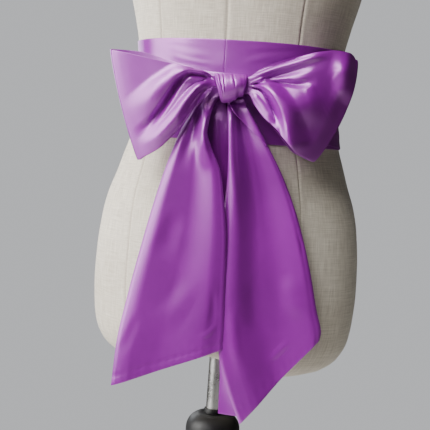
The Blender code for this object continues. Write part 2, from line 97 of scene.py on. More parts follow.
def addLamp(look):
    lamp = bpy.data.lights.new(look["name"], "AREA")
    lamp.shape = "SQUARE"
    lamp.size = look["size"]
    lamp.energy = look["power"]
    lamp.color = look["tint"]
    holder = bpy.data.objects.new(look["name"], lamp)
    away = Vector(look["place"]) - Vector(lampAim)
    turn = away.to_track_quat("Z", "Y").to_matrix()
    holder.matrix_world = Matrix.Translation(look["place"]) @ turn.to_4x4()
    bpy.context.collection.objects.link(holder)


def addRoom(look):
    world = bpy.data.worlds.new("paleRoom")
    world.use_nodes = True
    tree = world.node_tree
    air = tree.nodes["Background"]
    air.inputs["Color"].default_value = (*look["air"], 1)
    air.inputs["Strength"].default_value = look["airStrength"]
    backdrop = tree.nodes.new("ShaderNodeBackground")
    backdrop.inputs["Color"].default_value = (*look["backdrop"], 1)
    ray = tree.nodes.new("ShaderNodeLightPath")
    mix = tree.nodes.new("ShaderNodeMixShader")
    tree.links.new(ray.outputs["Is Camera Ray"], mix.inputs["Fac"])
    tree.links.new(air.outputs["Background"], mix.inputs[1])
    tree.links.new(backdrop.outputs["Background"], mix.inputs[2])
    tree.links.new(mix.outputs["Shader"], tree.nodes["World Output"].inputs["Surface"])
    bpy.context.scene.world = world
    work = bmesh.new()
    bmesh.ops.create_grid(work, x_segments=1, y_segments=1, size=look["floorSize"] / 2)
    mesh = bpy.data.meshes.new("floor")
    work.to_mesh(mesh)
    work.free()
    floor = bpy.data.objects.new("floor", mesh)
    bpy.context.collection.objects.link(floor)
    plain = bpy.data.materials.new("paleFloor")
    plain.use_nodes = True
    shader = plain.node_tree.nodes["Principled BSDF"]
    shader.inputs["Base Color"].default_value = (*look["floorColour"], 1)
    shader.inputs["Roughness"].default_value = look["floorRoughness"]
    mesh.materials.append(plain)


addCamera(cameraLook)
for lampLook in lamps:
    addLamp(lampLook)
addRoom(roomLook)


print("finishes")


def addNode(tree, kind, inputs=None, **settings):
    node = tree.nodes.new(kind)
    for name, value in settings.items():
        setattr(node, name, value)
    for name, value in (inputs or {}).items():
        node.inputs[name].default_value = value
    return node


def wire(tree, source, output, target, socket):
    tree.links.new(source.outputs[output], target.inputs[socket])


def newGroup(name, takes, gives):
    group = bpy.data.node_groups.new(name, "ShaderNodeTree")
    for label, kind, value in takes:
        socket = group.interface.new_socket(label, in_out="INPUT", socket_type=kind)
        if value is not None:
            socket.default_value = value
    for label, kind in gives:
        group.interface.new_socket(label, in_out="OUTPUT", socket_type=kind)
    return group, group.nodes.new("NodeGroupInput"), group.nodes.new("NodeGroupOutput")


def mathNode(tree, operation, first=None, second=None):
    node = addNode(tree, "ShaderNodeMath", operation=operation)
    for index, value in enumerate((first, second)):
        if value is None:
            continue
        if isinstance(value, (int, float)):
            node.inputs[index].default_value = value
        else:
            tree.links.new(value, node.inputs[index])
    return node.outputs[0]


weaveLook = {
    "alongThread": 0.05,  # how slowly a thread's thickness changes along it
    "slubScale": 0.9,
    "crossing": 0.12,     # height of the crossings beside the slubs
    "maskGain": 1.4,
}


def makeWeaveGroup(look):
    # crossing threads with thick and thin places: a height and a mask for the colour
    takes = [
        ("Vector", "NodeSocketVector", None),
        ("Threads", "NodeSocketFloat", 1000.0),
        ("Slub", "NodeSocketFloat", 0.5),
    ]
    gives = [("Height", "NodeSocketFloat"), ("Mask", "NodeSocketFloat")]
    group, given, result = newGroup("threadWeave", takes, gives)
    apart = addNode(group, "ShaderNodeSeparateXYZ")
    wire(group, given, "Vector", apart, "Vector")
    threads = []
    slubs = []
    slow = look["alongThread"]
    for axis, stretch in (("X", (1.0, slow, 1.0)), ("Y", (slow, 1.0, 1.0))):
        longways = addNode(group, "ShaderNodeVectorMath", {1: stretch}, operation="MULTIPLY")
        wire(group, given, "Vector", longways, 0)
        scaled = addNode(group, "ShaderNodeVectorMath", operation="SCALE")
        wire(group, longways, "Vector", scaled, 0)
        wire(group, given, "Threads", scaled, "Scale")
        noise = {"Scale": look["slubScale"], "Detail": 3.0, "Roughness": 0.6}
        thick = addNode(group, "ShaderNodeTexNoise", noise)
        wire(group, scaled, "Vector", thick, "Vector")
        slubs.append(mathNode(group, "SUBTRACT", thick.outputs["Fac"], 0.5))
        phase = mathNode(group, "MULTIPLY", apart.outputs[axis], given.outputs["Threads"])
        phase = mathNode(group, "MULTIPLY", phase, 2 * math.pi)
        threads.append(mathNode(group, "SINE", phase))
    crossing = mathNode(group, "MULTIPLY", threads[0], threads[1])
    slub = mathNode(group, "ADD", slubs[0], slubs[1])
    slub = mathNode(group, "MULTIPLY", slub, given.outputs["Slub"])
    height = mathNode(group, "MULTIPLY", crossing, look["crossing"])
    height = mathNode(group, "ADD", height, slub)
    height = mathNode(group, "ADD", height, 0.5)
    group.links.new(height, result.inputs["Height"])
    mask = mathNode(group, "ADD", mathNode(group, "MULTIPLY", slub, look["maskGain"]), 0.5)
    group.links.new(mask, result.inputs["Mask"])
    return group


def makeMottleGroup():
    # slow uneven tone, as from handling and dust
    takes = [
        ("Vector", "NodeSocketVector", None),
        ("Scale", "NodeSocketFloat", 8.0),
        ("Low", "NodeSocketFloat", 0.9),
        ("High", "NodeSocketFloat", 1.05),
    ]
    gives = [("Tone", "NodeSocketFloat"), ("Patches", "NodeSocketFloat")]
    group, given, result = newGroup("unevenTone", takes, gives)
    cloud = addNode(group, "ShaderNodeTexNoise", {"Detail": 4.0, "Roughness": 0.55})
    wire(group, given, "Vector", cloud, "Vector")
    wire(group, given, "Scale", cloud, "Scale")
    span = addNode(group, "ShaderNodeMapRange", {"From Min": 0.3, "From Max": 0.7})
    wire(group, cloud, "Fac", span, "Value")
    wire(group, given, "Low", span, "To Min")
    wire(group, given, "High", span, "To Max")
    wire(group, span, "Result", result, "Tone")
    wire(group, cloud, "Fac", result, "Patches")
    return group


weaveGroup = makeWeaveGroup(weaveLook)
mottleGroup = makeMottleGroup()

satinLook = {
    "deep": (0.185, 0.0, 0.235),
    "light": (0.29, 0.003, 0.36),
    "lustre": (0.90, 0.46, 0.95),
    "sheenTint": (0.95, 0.5, 1.0),
    "roughness": (0.33, 0.43),
    "metallic": 0.1,
    "gloss": 2.0,         # index of refraction; silk-like floats shine more than plain threads
    "specular": 1.0,
    "sheen": 0.04,
    "sheenRoughness": 0.3,
    "coat": 0.22,
    "coatRoughness": 0.24,
    "grain": 0.7,         # how far the lustre is drawn out across the floating threads
    "grainTurn": 0.25,
    "threads": 1400,
    "slub": 0.7,
    "slubShade": (0.25, -0.12),     # gain and shift of the weave's mask in the colour
    "mottle": {"Scale": 14.0, "Low": 0.25, "High": 0.8},
    "bump": 0.35,
    "weaveDepth": 0.00003,
}
linenLook = {
    "dark": (0.38, 0.33, 0.255),
    "light": (0.79, 0.735, 0.625),
    "roughness": 0.9,
    "specular": 0.25,
    "sheen": 0.2,
    "threads": 1000,
    "slub": 0.8,
    "mottle": {"Scale": 7.0, "Low": -0.14, "High": 0.16},
    "bump": 0.8,
    "weaveDepth": 0.00022,
}
enamelLook = {"colour": (0.012, 0.012, 0.013), "roughness": 0.32, "metallic": 0.0, "scale": 22.0}
hubLook = {"colour": (0.006, 0.006, 0.007), "roughness": 0.42, "metallic": 0.0, "scale": 60.0}
capLook = {"colour": (0.02, 0.02, 0.02), "roughness": 0.5, "metallic": 0.0, "scale": 30.0}
chromeLook = {"colour": (0.87, 0.86, 0.84), "roughness": 0.27, "metallic": 1.0, "scale": 40.0}
wearLook = {"smoothest": 0.8, "roughest": 1.35, "dustGain": 1.25, "dustAdd": 0.006}


def newMaterial(name):
    material = bpy.data.materials.new(name)
    material.use_nodes = True
    return material, material.node_tree, material.node_tree.nodes["Principled BSDF"]


def placedGroup(tree, group, **values):
    node = tree.nodes.new("ShaderNodeGroup")
    node.node_tree = group
    for name, value in values.items():
        node.inputs[name].default_value = value
    return node


def toneMix(tree, factor, dark, light):
    mix = addNode(tree, "ShaderNodeMix", data_type="RGBA")
    mix.inputs["A"].default_value = (*dark, 1)
    mix.inputs["B"].default_value = (*light, 1)
    tree.links.new(factor, mix.inputs["Factor"])
    return mix.outputs["Result"]


def placedMottle(tree, **values):
    place = addNode(tree, "ShaderNodeTexCoord")
    mottle = placedGroup(tree, mottleGroup, **values)
    wire(tree, place, "Object", mottle, "Vector")
    return mottle


def placedWeave(tree, look, shader):
    # the weave lies on the cloth's own UV and roughens its surface
    cloth = addNode(tree, "ShaderNodeUVMap", uv_map="cloth")
    weave = placedGroup(tree, weaveGroup, Threads=look["threads"], Slub=look["slub"])
    wire(tree, cloth, "UV", weave, "Vector")
    bump = addNode(tree, "ShaderNodeBump", {"Strength": look["bump"], "Distance": look["weaveDepth"]})
    wire(tree, weave, "Height", bump, "Height")
    wire(tree, bump, "Normal", shader, "Normal")
    return weave


def makeSatin(name, look, depth=1.0, shine=1.0):
    material, tree, shader = newMaterial(name)
    weave = placedWeave(tree, look, shader)
    mottle = placedMottle(tree, **look["mottle"])
    gain, shift = look["slubShade"]
    factor = mathNode(tree, "MULTIPLY_ADD", weave.outputs["Mask"], gain)
    factor.node.inputs[2].default_value = shift
    factor = mathNode(tree, "ADD", factor, mottle.outputs["Tone"])
    # a depth under one darkens the colour as painted shade, for a copy of the satin that lies in shade
    dark = tuple(value * depth for value in look["deep"])
    light = tuple(value * depth for value in look["light"])
    tree.links.new(toneMix(tree, factor, dark, light), shader.inputs["Base Color"])
    low, high = look["roughness"]
    rough = addNode(tree, "ShaderNodeMapRange", {"To Min": low, "To Max": high})
    wire(tree, weave, "Mask", rough, "Value")
    wire(tree, rough, "Result", shader, "Roughness")
    shader.inputs["Metallic"].default_value = look["metallic"]
    shader.inputs["Specular IOR Level"].default_value = look["specular"] * shine
    shader.inputs["Sheen Weight"].default_value = look["sheen"]
    shader.inputs["Sheen Roughness"].default_value = look["sheenRoughness"]
    shader.inputs["Sheen Tint"].default_value = (*look["sheenTint"], 1)
    shader.inputs["IOR"].default_value = look["gloss"]
    shader.inputs["Specular Tint"].default_value = (*look["lustre"], 1)
    shader.inputs["Coat Weight"].default_value = look["coat"] * shine
    shader.inputs["Coat Roughness"].default_value = look["coatRoughness"]
    shader.inputs["Anisotropic"].default_value = look["grain"]
    shader.inputs["Anisotropic Rotation"].default_value = look["grainTurn"]
    run = addNode(tree, "ShaderNodeTangent", direction_type="UV_MAP", uv_map="cloth")
    wire(tree, run, "Tangent", shader, "Tangent")
    return material


def makeLinen(look):
    material, tree, shader = newMaterial("naturalLinen")
    weave = placedWeave(tree, look, shader)
    mottle = placedMottle(tree, **look["mottle"])
    factor = mathNode(tree, "ADD", weave.outputs["Mask"], mottle.outputs["Tone"])
    tree.links.new(toneMix(tree, factor, look["dark"], look["light"]), shader.inputs["Base Color"])
    shader.inputs["Roughness"].default_value = look["roughness"]
    shader.inputs["Specular IOR Level"].default_value = look["specular"]
    shader.inputs["Sheen Weight"].default_value = look["sheen"]
    return material


def makeHard(name, look):
    # a hard finish, a little uneven and dusty
    material, tree, shader = newMaterial(name)
    low = look["roughness"] * wearLook["smoothest"]
    high = look["roughness"] * wearLook["roughest"]
    mottle = placedMottle(tree, Scale=look["scale"], Low=low, High=high)
    wire(tree, mottle, "Tone", shader, "Roughness")
    dusty = tuple(min(1.0, value * wearLook["dustGain"] + wearLook["dustAdd"]) for value in look["colour"])
    tone = toneMix(tree, mottle.outputs["Patches"], look["colour"], dusty)
    tree.links.new(tone, shader.inputs["Base Color"])
    shader.inputs["Metallic"].default_value = look["metallic"]
    return material


satin = makeSatin("purpleSatin", satinLook)
satinPaintedShade = makeSatin("purpleSatinPaintedShade", satinLook, depth=0.7, shine=0.4)      # a hidden fold is duller, and its colour is darkened as painted shade
linen = makeLinen(linenLook)
enamel = makeHard("blackEnamel", enamelLook)
hubBlack = makeHard("blackHub", hubLook)
capBlack = makeHard("blackCap", capLook)
chrome = makeHard("polishedChrome", chromeLook)


print("shaping tools")


def smoothThrough(stations, values, at):
    # a smooth curve through values at rising stations, which never overshoots them
    stations = np.asarray(stations, float)
    values = np.asarray(values, float)
    steps = np.diff(stations)
    slopes = np.diff(values) / steps
    tangents = np.concatenate([slopes[:1], slopes, slopes[-1:]])
    before = tangents[:-1]
    after = tangents[1:]
    agree = before * after > 0
    tangents = np.where(agree, 2 * before * after / np.where(agree, before + after, 1), 0)
    tangents[0] = slopes[0]
    tangents[-1] = slopes[-1]
    at = np.clip(at, stations[0], stations[-1])
    k = np.clip(np.searchsorted(stations, at, side="right") - 1, 0, len(steps) - 1)
    t = (at - stations[k]) / steps[k]
    start = values[k] * (1 + 2 * t) * (1 - t) ** 2 + tangents[k] * steps[k] * t * (1 - t) ** 2
    end = values[k + 1] * t ** 2 * (3 - 2 * t) + tangents[k + 1] * steps[k] * t ** 2 * (t - 1)
    return start + end


def readTable(table, name, at):
    # one named column of a table, at places along its first column
    column = table["columns"].split().index(name)
    first = [row[0] for row in table["rows"]]
    values = [row[column] for row in table["rows"]]
    if first[0] > first[-1]:
        first = [-value for value in first]
        at = -np.asarray(at, float)
    return smoothThrough(first, values, at)


def eased(value):
    value = np.clip(value, 0, 1)
    return value * value * (3 - 2 * value)


foldStations = (0, 0.5, 1)      # start, middle and end of a fold
routePoints = 28                # along one crease


def foldHeight(folds, along, across):
    # long folds: place across and rise, each at the start, middle and end, and a width
    height = np.zeros(along.shape)
    for places, rises, width in folds:
        place = smoothThrough(foldStations, places, along)
        rise = smoothThrough(foldStations, rises, along)
        away = np.clip(np.abs(across - place) / width, 0, 1)
        height += rise * np.cos(away * math.pi / 2) ** 2
    return height


def creaseHeight(creases, side, up):
    # listed creases: a route, its width at both ends, its rise, how much of it fades in and out,
    # and for an uneven one how many times wider it is on the left hand of its route
    height = np.zeros(side.shape)
    for route, widths, rise, fades, *lean in creases:
        legs = np.array(route, float)
        run = np.concatenate([[0], np.cumsum(np.hypot(*np.diff(legs, axis=0).T))])
        fine = np.linspace(0, run[-1], routePoints)
        path = np.stack([smoothThrough(run, legs[:, 0], fine), smoothThrough(run, legs[:, 1], fine)], axis=1)
        nearest = np.full(side.shape, np.inf)
        travelled = np.zeros(side.shape)
        leftHand = np.zeros(side.shape, bool)
        for k in range(len(path) - 1):
            step = path[k + 1] - path[k]
            part = ((side - path[k, 0]) * step[0] + (up - path[k, 1]) * step[1]) / (step @ step)
            part = np.clip(part, 0, 1)
            away = np.hypot(side - path[k, 0] - part * step[0], up - path[k, 1] - part * step[1])
            closer = away < nearest
            nearest = np.where(closer, away, nearest)
            travelled = np.where(closer, (k + part) / (len(path) - 1), travelled)
            turned = (up - path[k, 1]) * step[0] - (side - path[k, 0]) * step[1] > 0
            leftHand = np.where(closer, turned, leftHand)
        width = widths[0] + (widths[1] - widths[0]) * travelled
        if lean:
            width = width * np.where(leftHand, lean[0], 1)
        strength = eased(travelled / fades[0]) * eased((1 - travelled) / fades[1])
        height += rise * strength * np.cos(np.clip(nearest / width, 0, 1) * math.pi / 2) ** 2
    return height


def bowPoints(side, forward, up):
    x = side * math.cos(bowTurn) + forward * math.sin(bowTurn)
    y = side * math.sin(bowTurn) - forward * math.cos(bowTurn)
    return np.stack([x, y, up + 0 * x], axis=-1) * mm


formRings = {
    "columns": "up halfWidth front back",
    "rows": [
        (662, 122, 76, 84), (666, 134, 85, 94), (672, 145, 93, 103), (682, 156, 101, 113),
        (704, 167, 107, 122), (729, 171, 109, 126), (765, 173, 110, 128), (800, 172, 110, 128),
        (848, 167, 109, 124), (875, 161, 107, 118), (903, 151, 104, 111), (928, 143, 101, 105),
        (950, 136, 98.5, 100), (975, 131.5, 96.5, 96), (1000, 129.5, 95.5, 93), (1022, 129, 95, 92),
        (1046, 130, 95.5, 92.5), (1071, 133, 97, 94), (1100, 139, 101, 97), (1140, 149, 109, 101),
        (1190, 158, 121, 107), (1240, 165, 131, 111), (1285, 169, 132, 113), (1330, 171, 121, 110),
        (1370, 172, 104, 101), (1400, 166, 90, 90), (1422, 148, 78, 80), (1438, 118, 68, 70),
        (1452, 84, 60, 62), (1468, 62, 54, 56), (1496, 54, 50, 52),
    ],
}


def formPoints(turn, up, out):
    # points on the form or out from it; the turn is in degrees from its front
    half = readTable(formRings, "halfWidth", up) + out
    front = readTable(formRings, "front", up) + out
    back = readTable(formRings, "back", up) + out
    side = np.sin(np.radians(turn))
    ahead = np.cos(np.radians(turn))
    x = half * np.sign(side) * np.abs(side) ** (2 / formRound)
    y = -np.where(ahead > 0, front, back) * np.sign(ahead) * np.abs(ahead) ** (2 / formRound)
    return np.stack([x, y, up + 0 * x], axis=-1) * mm


def overForm(side, forward, up, clear):
    # holds points of the bow off the form by a clearance, with a soft landing
    front = readTable(formRings, "front", up)
    half = readTable(formRings, "halfWidth", up)
    surface = front
    for _ in range(3):      # the bow is turned, so the form under a point is found in a few tries
        x = side * math.cos(bowTurn) + surface * math.sin(bowTurn)
        ring = front * (1 - np.clip(np.abs(x / half), 0, 0.98) ** formRound) ** (1 / formRound)
        surface = (ring + side * math.sin(bowTurn)) / math.cos(bowTurn)
    surface = surface + clear
    return surface + softLanding * np.logaddexp(0, (forward - surface) / softLanding)


def gridSheet(alongCount, acrossCount, shape, flatSize):
    # a flat grid with its own cloth UV, bent to the shape that the function gives
    work = bmesh.new()
    layer = work.loops.layers.uv.new("cloth")
    bmesh.ops.create_grid(work, x_segments=alongCount, y_segments=acrossCount, size=0.5, calc_uvs=True)
    flat = np.array([vert.co[:2] for vert in work.verts])
    flat = (flat - flat.min(axis=0)) / (flat.max(axis=0) - flat.min(axis=0))
    points = shape(flat[:, 0], flat[:, 1])
    for vert, point in zip(work.verts, points.tolist()):
        vert.co = point
    for face in work.faces:
        for loop in face.loops:
            loop[layer].uv = (loop[layer].uv[0] * flatSize[1], loop[layer].uv[1] * flatSize[0])
    return work


def faceAwayFrom(work, middle, level):
    # turns a sheet's faces away from a point, or from the upright line through it where level is 0
    keep = Vector((1, 1, level))
    facing = sum(face.normal.dot((face.calc_center_median() - middle) * keep) for face in work.faces)
    if facing < 0:
        bmesh.ops.reverse_faces(work, faces=work.faces)


def finishPiece(work, name, material, nodes, sharp=None):
    mesh = bpy.data.meshes.new(name)
    work.to_mesh(mesh)
    work.free()
    piece = bpy.data.objects.new(name, mesh)
    bpy.context.collection.objects.link(piece)
    mesh.materials.append(material)
    mesh.shade_smooth()
    if sharp is not None:
        mesh.set_sharp_from_angle(angle=math.radians(sharp))
    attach(piece, "root")
    if nodes:
        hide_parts(*nodes)
    return piece


def addWall(piece, offset=0.0):
    # gives a sheet its thickness, to both sides or by its offset outwards or inwards
    wall = piece.modifiers.new("clothWall", "SOLIDIFY")
    wall.thickness = clothWall * mm
    wall.offset = offset
    rim = piece.modifiers.new("softRim", "BEVEL")
    rim.width = clothWall * 0.3 * mm
    rim.segments = 2
    rim.limit_method = "ANGLE"
    rim.angle_limit = math.radians(60)


print("dress form")

formLook = {
    "sectorColumns": 24,
    "rows": 150,
    "rowShift": 0.035,     # packs the rows closer at the foot
    "clothSize": (0.84, 0.9),
    "crowding": 0.13,      # how much the columns draw together at the seams
    "seamDepth": 0.9,
    "seamWidth": 0.9,
    "seamSwell": 0.4,      # the padding rises beside a seam
    "swellFrom": 4,
    "swellWidth": 3,
    "sideTurn": 91,        # the side seams are flatter
    "sideReach": 3,
    "sideDepth": 0.6,
    "underSteps": (0.97, 0.93, 0.85, 0.8, 0.8, 0.7, 0.6, 0.5),
    "archHalf": 74,        # the underside arches up over the pole
    "archRise": 21,
    "archReach": 60,
    "seams": {
        "columns": "up front side back",
        "rows": [
            (662, 35, 91, 143), (765, 36, 91, 144), (819, 36.5, 91, 145), (930, 39.5, 91, 147),
            (1022, 39, 91, 147), (1130, 36, 91, 146), (1285, 33, 92, 146), (1370, 29, 93, 147),
            (1422, 26, 92, 150), (1452, 24, 90, 153), (1496, 22, 90, 155),
        ],
    },
}


def formShape(u, v):
    look = formLook
    low = formRings["rows"][0][0]
    high = formRings["rows"][-1][0]
    up = low + (high - low) * (v + look["rowShift"] * np.sin(2 * math.pi * v) * (v < 0.5))
    seams = [np.zeros(up.shape)]
    for name in ("front", "side", "back"):
        seams.append(readTable(look["seams"], name, up))
    seams.append(np.full(up.shape, 180.0))
    whole = np.abs(u - 0.5) * 2 * 4          # four sectors on each side
    sector = np.clip(np.floor(whole), 0, 3).astype(int)
    part = whole - sector
    part = part - look["crowding"] * np.sin(2 * math.pi * part)
    edges = np.stack(seams)
    index = np.arange(up.size)
    start = edges[sector, index]
    end = edges[sector + 1, index]
    turn = start + (end - start) * part
    half = readTable(formRings, "halfWidth", up)
    away = np.minimum(turn - start, end - turn) * math.pi / 180 * half
    groove = -look["seamDepth"] * np.exp(-(away / look["seamWidth"]) ** 2)
    groove = groove + look["seamSwell"] * np.exp(-((away - look["swellFrom"]) / look["swellWidth"]) ** 2)
    atSide = np.abs(turn - look["sideTurn"]) < look["sideReach"]
    groove = groove * np.where(atSide, look["sideDepth"], 1.0)
    return formPoints(np.sign(u - 0.5) * turn, up, groove)


def archUnder(work, low):
    # lifts the underside in the middle, fading out upwards
    for vert in work.verts:
        near = eased(1 - abs(vert.co.x) / mm / formLook["archHalf"])
        above = (vert.co.z - low) / mm / formLook["archReach"]
        vert.co.z += formLook["archRise"] * mm * float(near) * max(0.0, 1 - above) ** 2


def makeForm():
    columns = 8 * formLook["sectorColumns"]
    work = gridSheet(columns, formLook["rows"], formShape, formLook["clothSize"])
    bmesh.ops.remove_doubles(work, verts=work.verts, dist=0.00002)
    low = min(vert.co.z for vert in work.verts)
    rim = [edge for edge in work.edges if edge.is_boundary and edge.verts[0].co.z < low + 0.001]
    for shrink in formLook["underSteps"]:
        grown = bmesh.ops.extrude_edge_only(work, edges=rim)
        rim = [item for item in grown["geom"] if isinstance(item, bmesh.types.BMEdge)]
        verts = [item for item in grown["geom"] if isinstance(item, bmesh.types.BMVert)]
        for vert in verts:
            vert.co = (vert.co.x * shrink, vert.co.y * shrink, low)
    bmesh.ops.holes_fill(work, edges=[edge for edge in work.edges if edge.is_boundary], sides=0)
    archUnder(work, low)
    bmesh.ops.recalc_face_normals(work, faces=work.faces)
    finishPiece(work, "linenForm", linen, ["dress_form_body"], 50)


makeForm()


print("stand and cap")


standLook = {
    "soft": 2,              # rounding of the larger edges
    "fine": 0.6,            # and of the small ones
    "capRound": 9,
    "capTop": 0.55,         # flat part of the cap's top, as a share of its radius
    "baseBoss": [(0, 0), (26, 0), (29, -0.4), (34, -2)],      # radius, and height from the top
    "baseSlope": (90, 1),   # radius, and height over midway between boss and rim
    "baseLip": (8, 0.8),    # how far in from the edge, and height over the rim
    "baseRim": 8,
    "baseEdge": 3,
    "hubShoulder": 12,
}


def quarterRound(centreRadius, centreUp, radius, rise, steps):
    turns = [math.pi / 2 * (1 - k / (steps - 1)) for k in range(steps)]
    return [(centreRadius + radius * math.cos(turn), centreUp + rise * math.sin(turn)) for turn in turns]


def turnedPiece(name, profile, material, node, steps=96):
    # the profile runs down the outer side, from the middle of the top to the middle of the foot
    work = bmesh.new()
    verts = [work.verts.new((radius * mm, 0, up * mm)) for radius, up in profile]
    edges = [work.edges.new(pair) for pair in zip(verts, verts[1:])]
    bmesh.ops.spin(
        work, geom=verts + edges, axis=(0, 0, 1), cent=(0, 0, 0),
        angle=2 * math.pi, steps=steps, use_merge=True,
    )
    bmesh.ops.remove_doubles(work, verts=work.verts, dist=0.00001)
    bmesh.ops.recalc_face_normals(work, faces=work.faces)
    finishPiece(work, name, material, [node], 35)


def nodeSize(node):
    # radius, low and high of a round node, in millimetres
    low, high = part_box(node)
    return high.x / mm, low.z / mm, high.z / mm


def makeStand(look):
    soft = look["soft"]
    fine = look["fine"]
    radius, low, high = nodeSize("dress_form_neck_cap")
    corner = look["capRound"]
    profile = [(0, high), (radius * look["capTop"], high)]
    profile += quarterRound(radius - corner, high - corner, corner, corner, 10)
    profile += [(radius, low + soft * 1.5), (radius - soft * 0.3, low + soft * 0.5)]
    profile += [(radius - soft, low), (0, low)]
    turnedPiece("neckCap", profile, capBlack, "dress_form_neck_cap")

    radius, low, high = nodeSize("stand_base")
    rim = look["baseRim"]
    edge = look["baseEdge"]
    profile = [(out, high + rise) for out, rise in look["baseBoss"]]
    out, over = look["baseSlope"]
    profile += [(out, (high + rim) / 2 + over)]
    inwards, over = look["baseLip"]
    profile += [(radius - inwards, rim + over)]
    profile += quarterRound(radius - edge, rim - edge, edge, edge, 7)
    profile += [(radius, low + 1), (radius - 1, low), (0, low)]
    turnedPiece("standBase", profile, enamel, "stand_base", 160)

    radius, low, high = nodeSize("stand_tube")
    profile = [(0, high), (radius - fine, high), (radius, high - fine), (radius, low), (0, low)]
    turnedPiece("standTube", profile, enamel, "stand_tube")

    radius, low, high = nodeSize("stand_hub")
    shoulder = low + look["hubShoulder"]
    flat = nodeSize("stand_collar")[0] + soft
    profile = [(0, high), (flat - soft / 2, high)]
    profile += quarterRound(flat, shoulder, radius - flat, high - shoulder, 16)
    profile += [(radius, low + soft), (radius - fine, low + fine), (radius - soft, low), (0, low)]
    turnedPiece("standHub", profile, hubBlack, "stand_hub")

    radius, low, high = nodeSize("stand_collar")
    profile = [(0, high), (radius - soft, high), (radius - fine, high - fine), (radius, high - soft)]
    profile += [(radius, low), (0, low)]
    turnedPiece("standCollar", profile, hubBlack, "stand_collar")

    radius, low, high = nodeSize("stand_pole")
    high += formLook["archRise"] * 0.9      # it reaches up under the arch
    profile = [(0, high), (radius, high), (radius, low), (0, low)]
    turnedPiece("standPole", profile, chrome, "stand_pole")


makeStand(standLook)


print("first wrap")

bandLook = {
    "low": 950,
    "high": 1071,
    "waist": 129,         # half width of the form there
    "arcRadius": 112,     # turns an angle round the waist into a length
    "seamGap": 0.05,
    "peak": 1.8,          # the sewn ends stand up a little at the seam
    "peakWidth": 15,
    "pucker": 0.12,       # and pucker a little
    "puckerWidth": 6,
    "tuckWidth": 1.3,
    "freeFrom": 1030,     # the second wrap covers what lies lower, which stays plain
    "freeOver": 12,
    "closest": 0.35,
    "crowding": 0.0764,   # how much the columns draw together at the seam
    "columns": 230,
    "rows": 56,
    # along the waist from the centre front, and up
    "creases": [
        ([(14, 1045), (38, 1052), (72, 1057), (112, 1060)], (6, 11), 0.6, (0.2, 0.5)),
        ([(30, 1041), (64, 1047), (100, 1054)], (5, 8), -0.4, (0.3, 0.5)),
        ([(10, 1060), (40, 1064), (88, 1067)], (3, 5), 0.3, (0.3, 0.5)),
    ],
    "creasesLeft": [
        ([(8, 1050), (34, 1053), (70, 1059), (104, 1060)], (6, 10), 0.5, (0.2, 0.5)),
        ([(20, 1063), (55, 1066), (96, 1064)], (4, 6), 0.35, (0.3, 0.5)),
        ([(6, 1040), (30, 1044), (52, 1049), (80, 1055)], (3, 6), 0.6, (0.3, 0.5)),
        ([(4, 1036), (26, 1039), (48, 1044)], (2, 4), -0.4, (0.3, 0.5)),
    ],
}


def bandShape(sign, creases):
    look = bandLook
    seam = math.degrees(math.asin((look["seamGap"] / 2 / look["waist"]) ** (formRound / 2)))

    def shape(u, v):
        spread = u - look["crowding"] * (1 - u) * np.sin(2 * math.pi * u)
        turn = seam + (180 - 2 * seam) * np.clip(spread, 0, 1)
        up = look["low"] + (look["high"] - look["low"]) * v
        arc = np.radians(turn) * look["arcRadius"]
        rise = creaseHeight(creases, arc, up) + look["peak"] * np.exp(-arc / look["peakWidth"])
        wave = np.sin(up / 3.4 + 1.3 * np.sin(up / 11)) * np.exp(-arc / look["puckerWidth"])
        tuck = np.exp(-(arc / look["tuckWidth"]) ** 2)
        free = eased((up - look["freeFrom"]) / look["freeOver"])
        out = bandClear + (rise + look["pucker"] * (wave - tuck)) * free
        return formPoints(sign * turn, up, np.maximum(out, look["closest"]))

    return shape


def makeBand(name, node, sign, creases):
    work = gridSheet(bandLook["columns"], bandLook["rows"], bandShape(sign, creases), (0.121, 0.36))
    bmesh.ops.recalc_face_normals(work, faces=work.faces)
    faceAwayFrom(work, Vector((0, 0, 0)), 0)
    piece = finishPiece(work, name, satin, [node])
    addWall(piece, 1.0)


makeBand("bandLeft", "band_left", -1, bandLook["creasesLeft"])
makeBand("bandRight", "band_right", 1, bandLook["creases"])


print("second wrap")

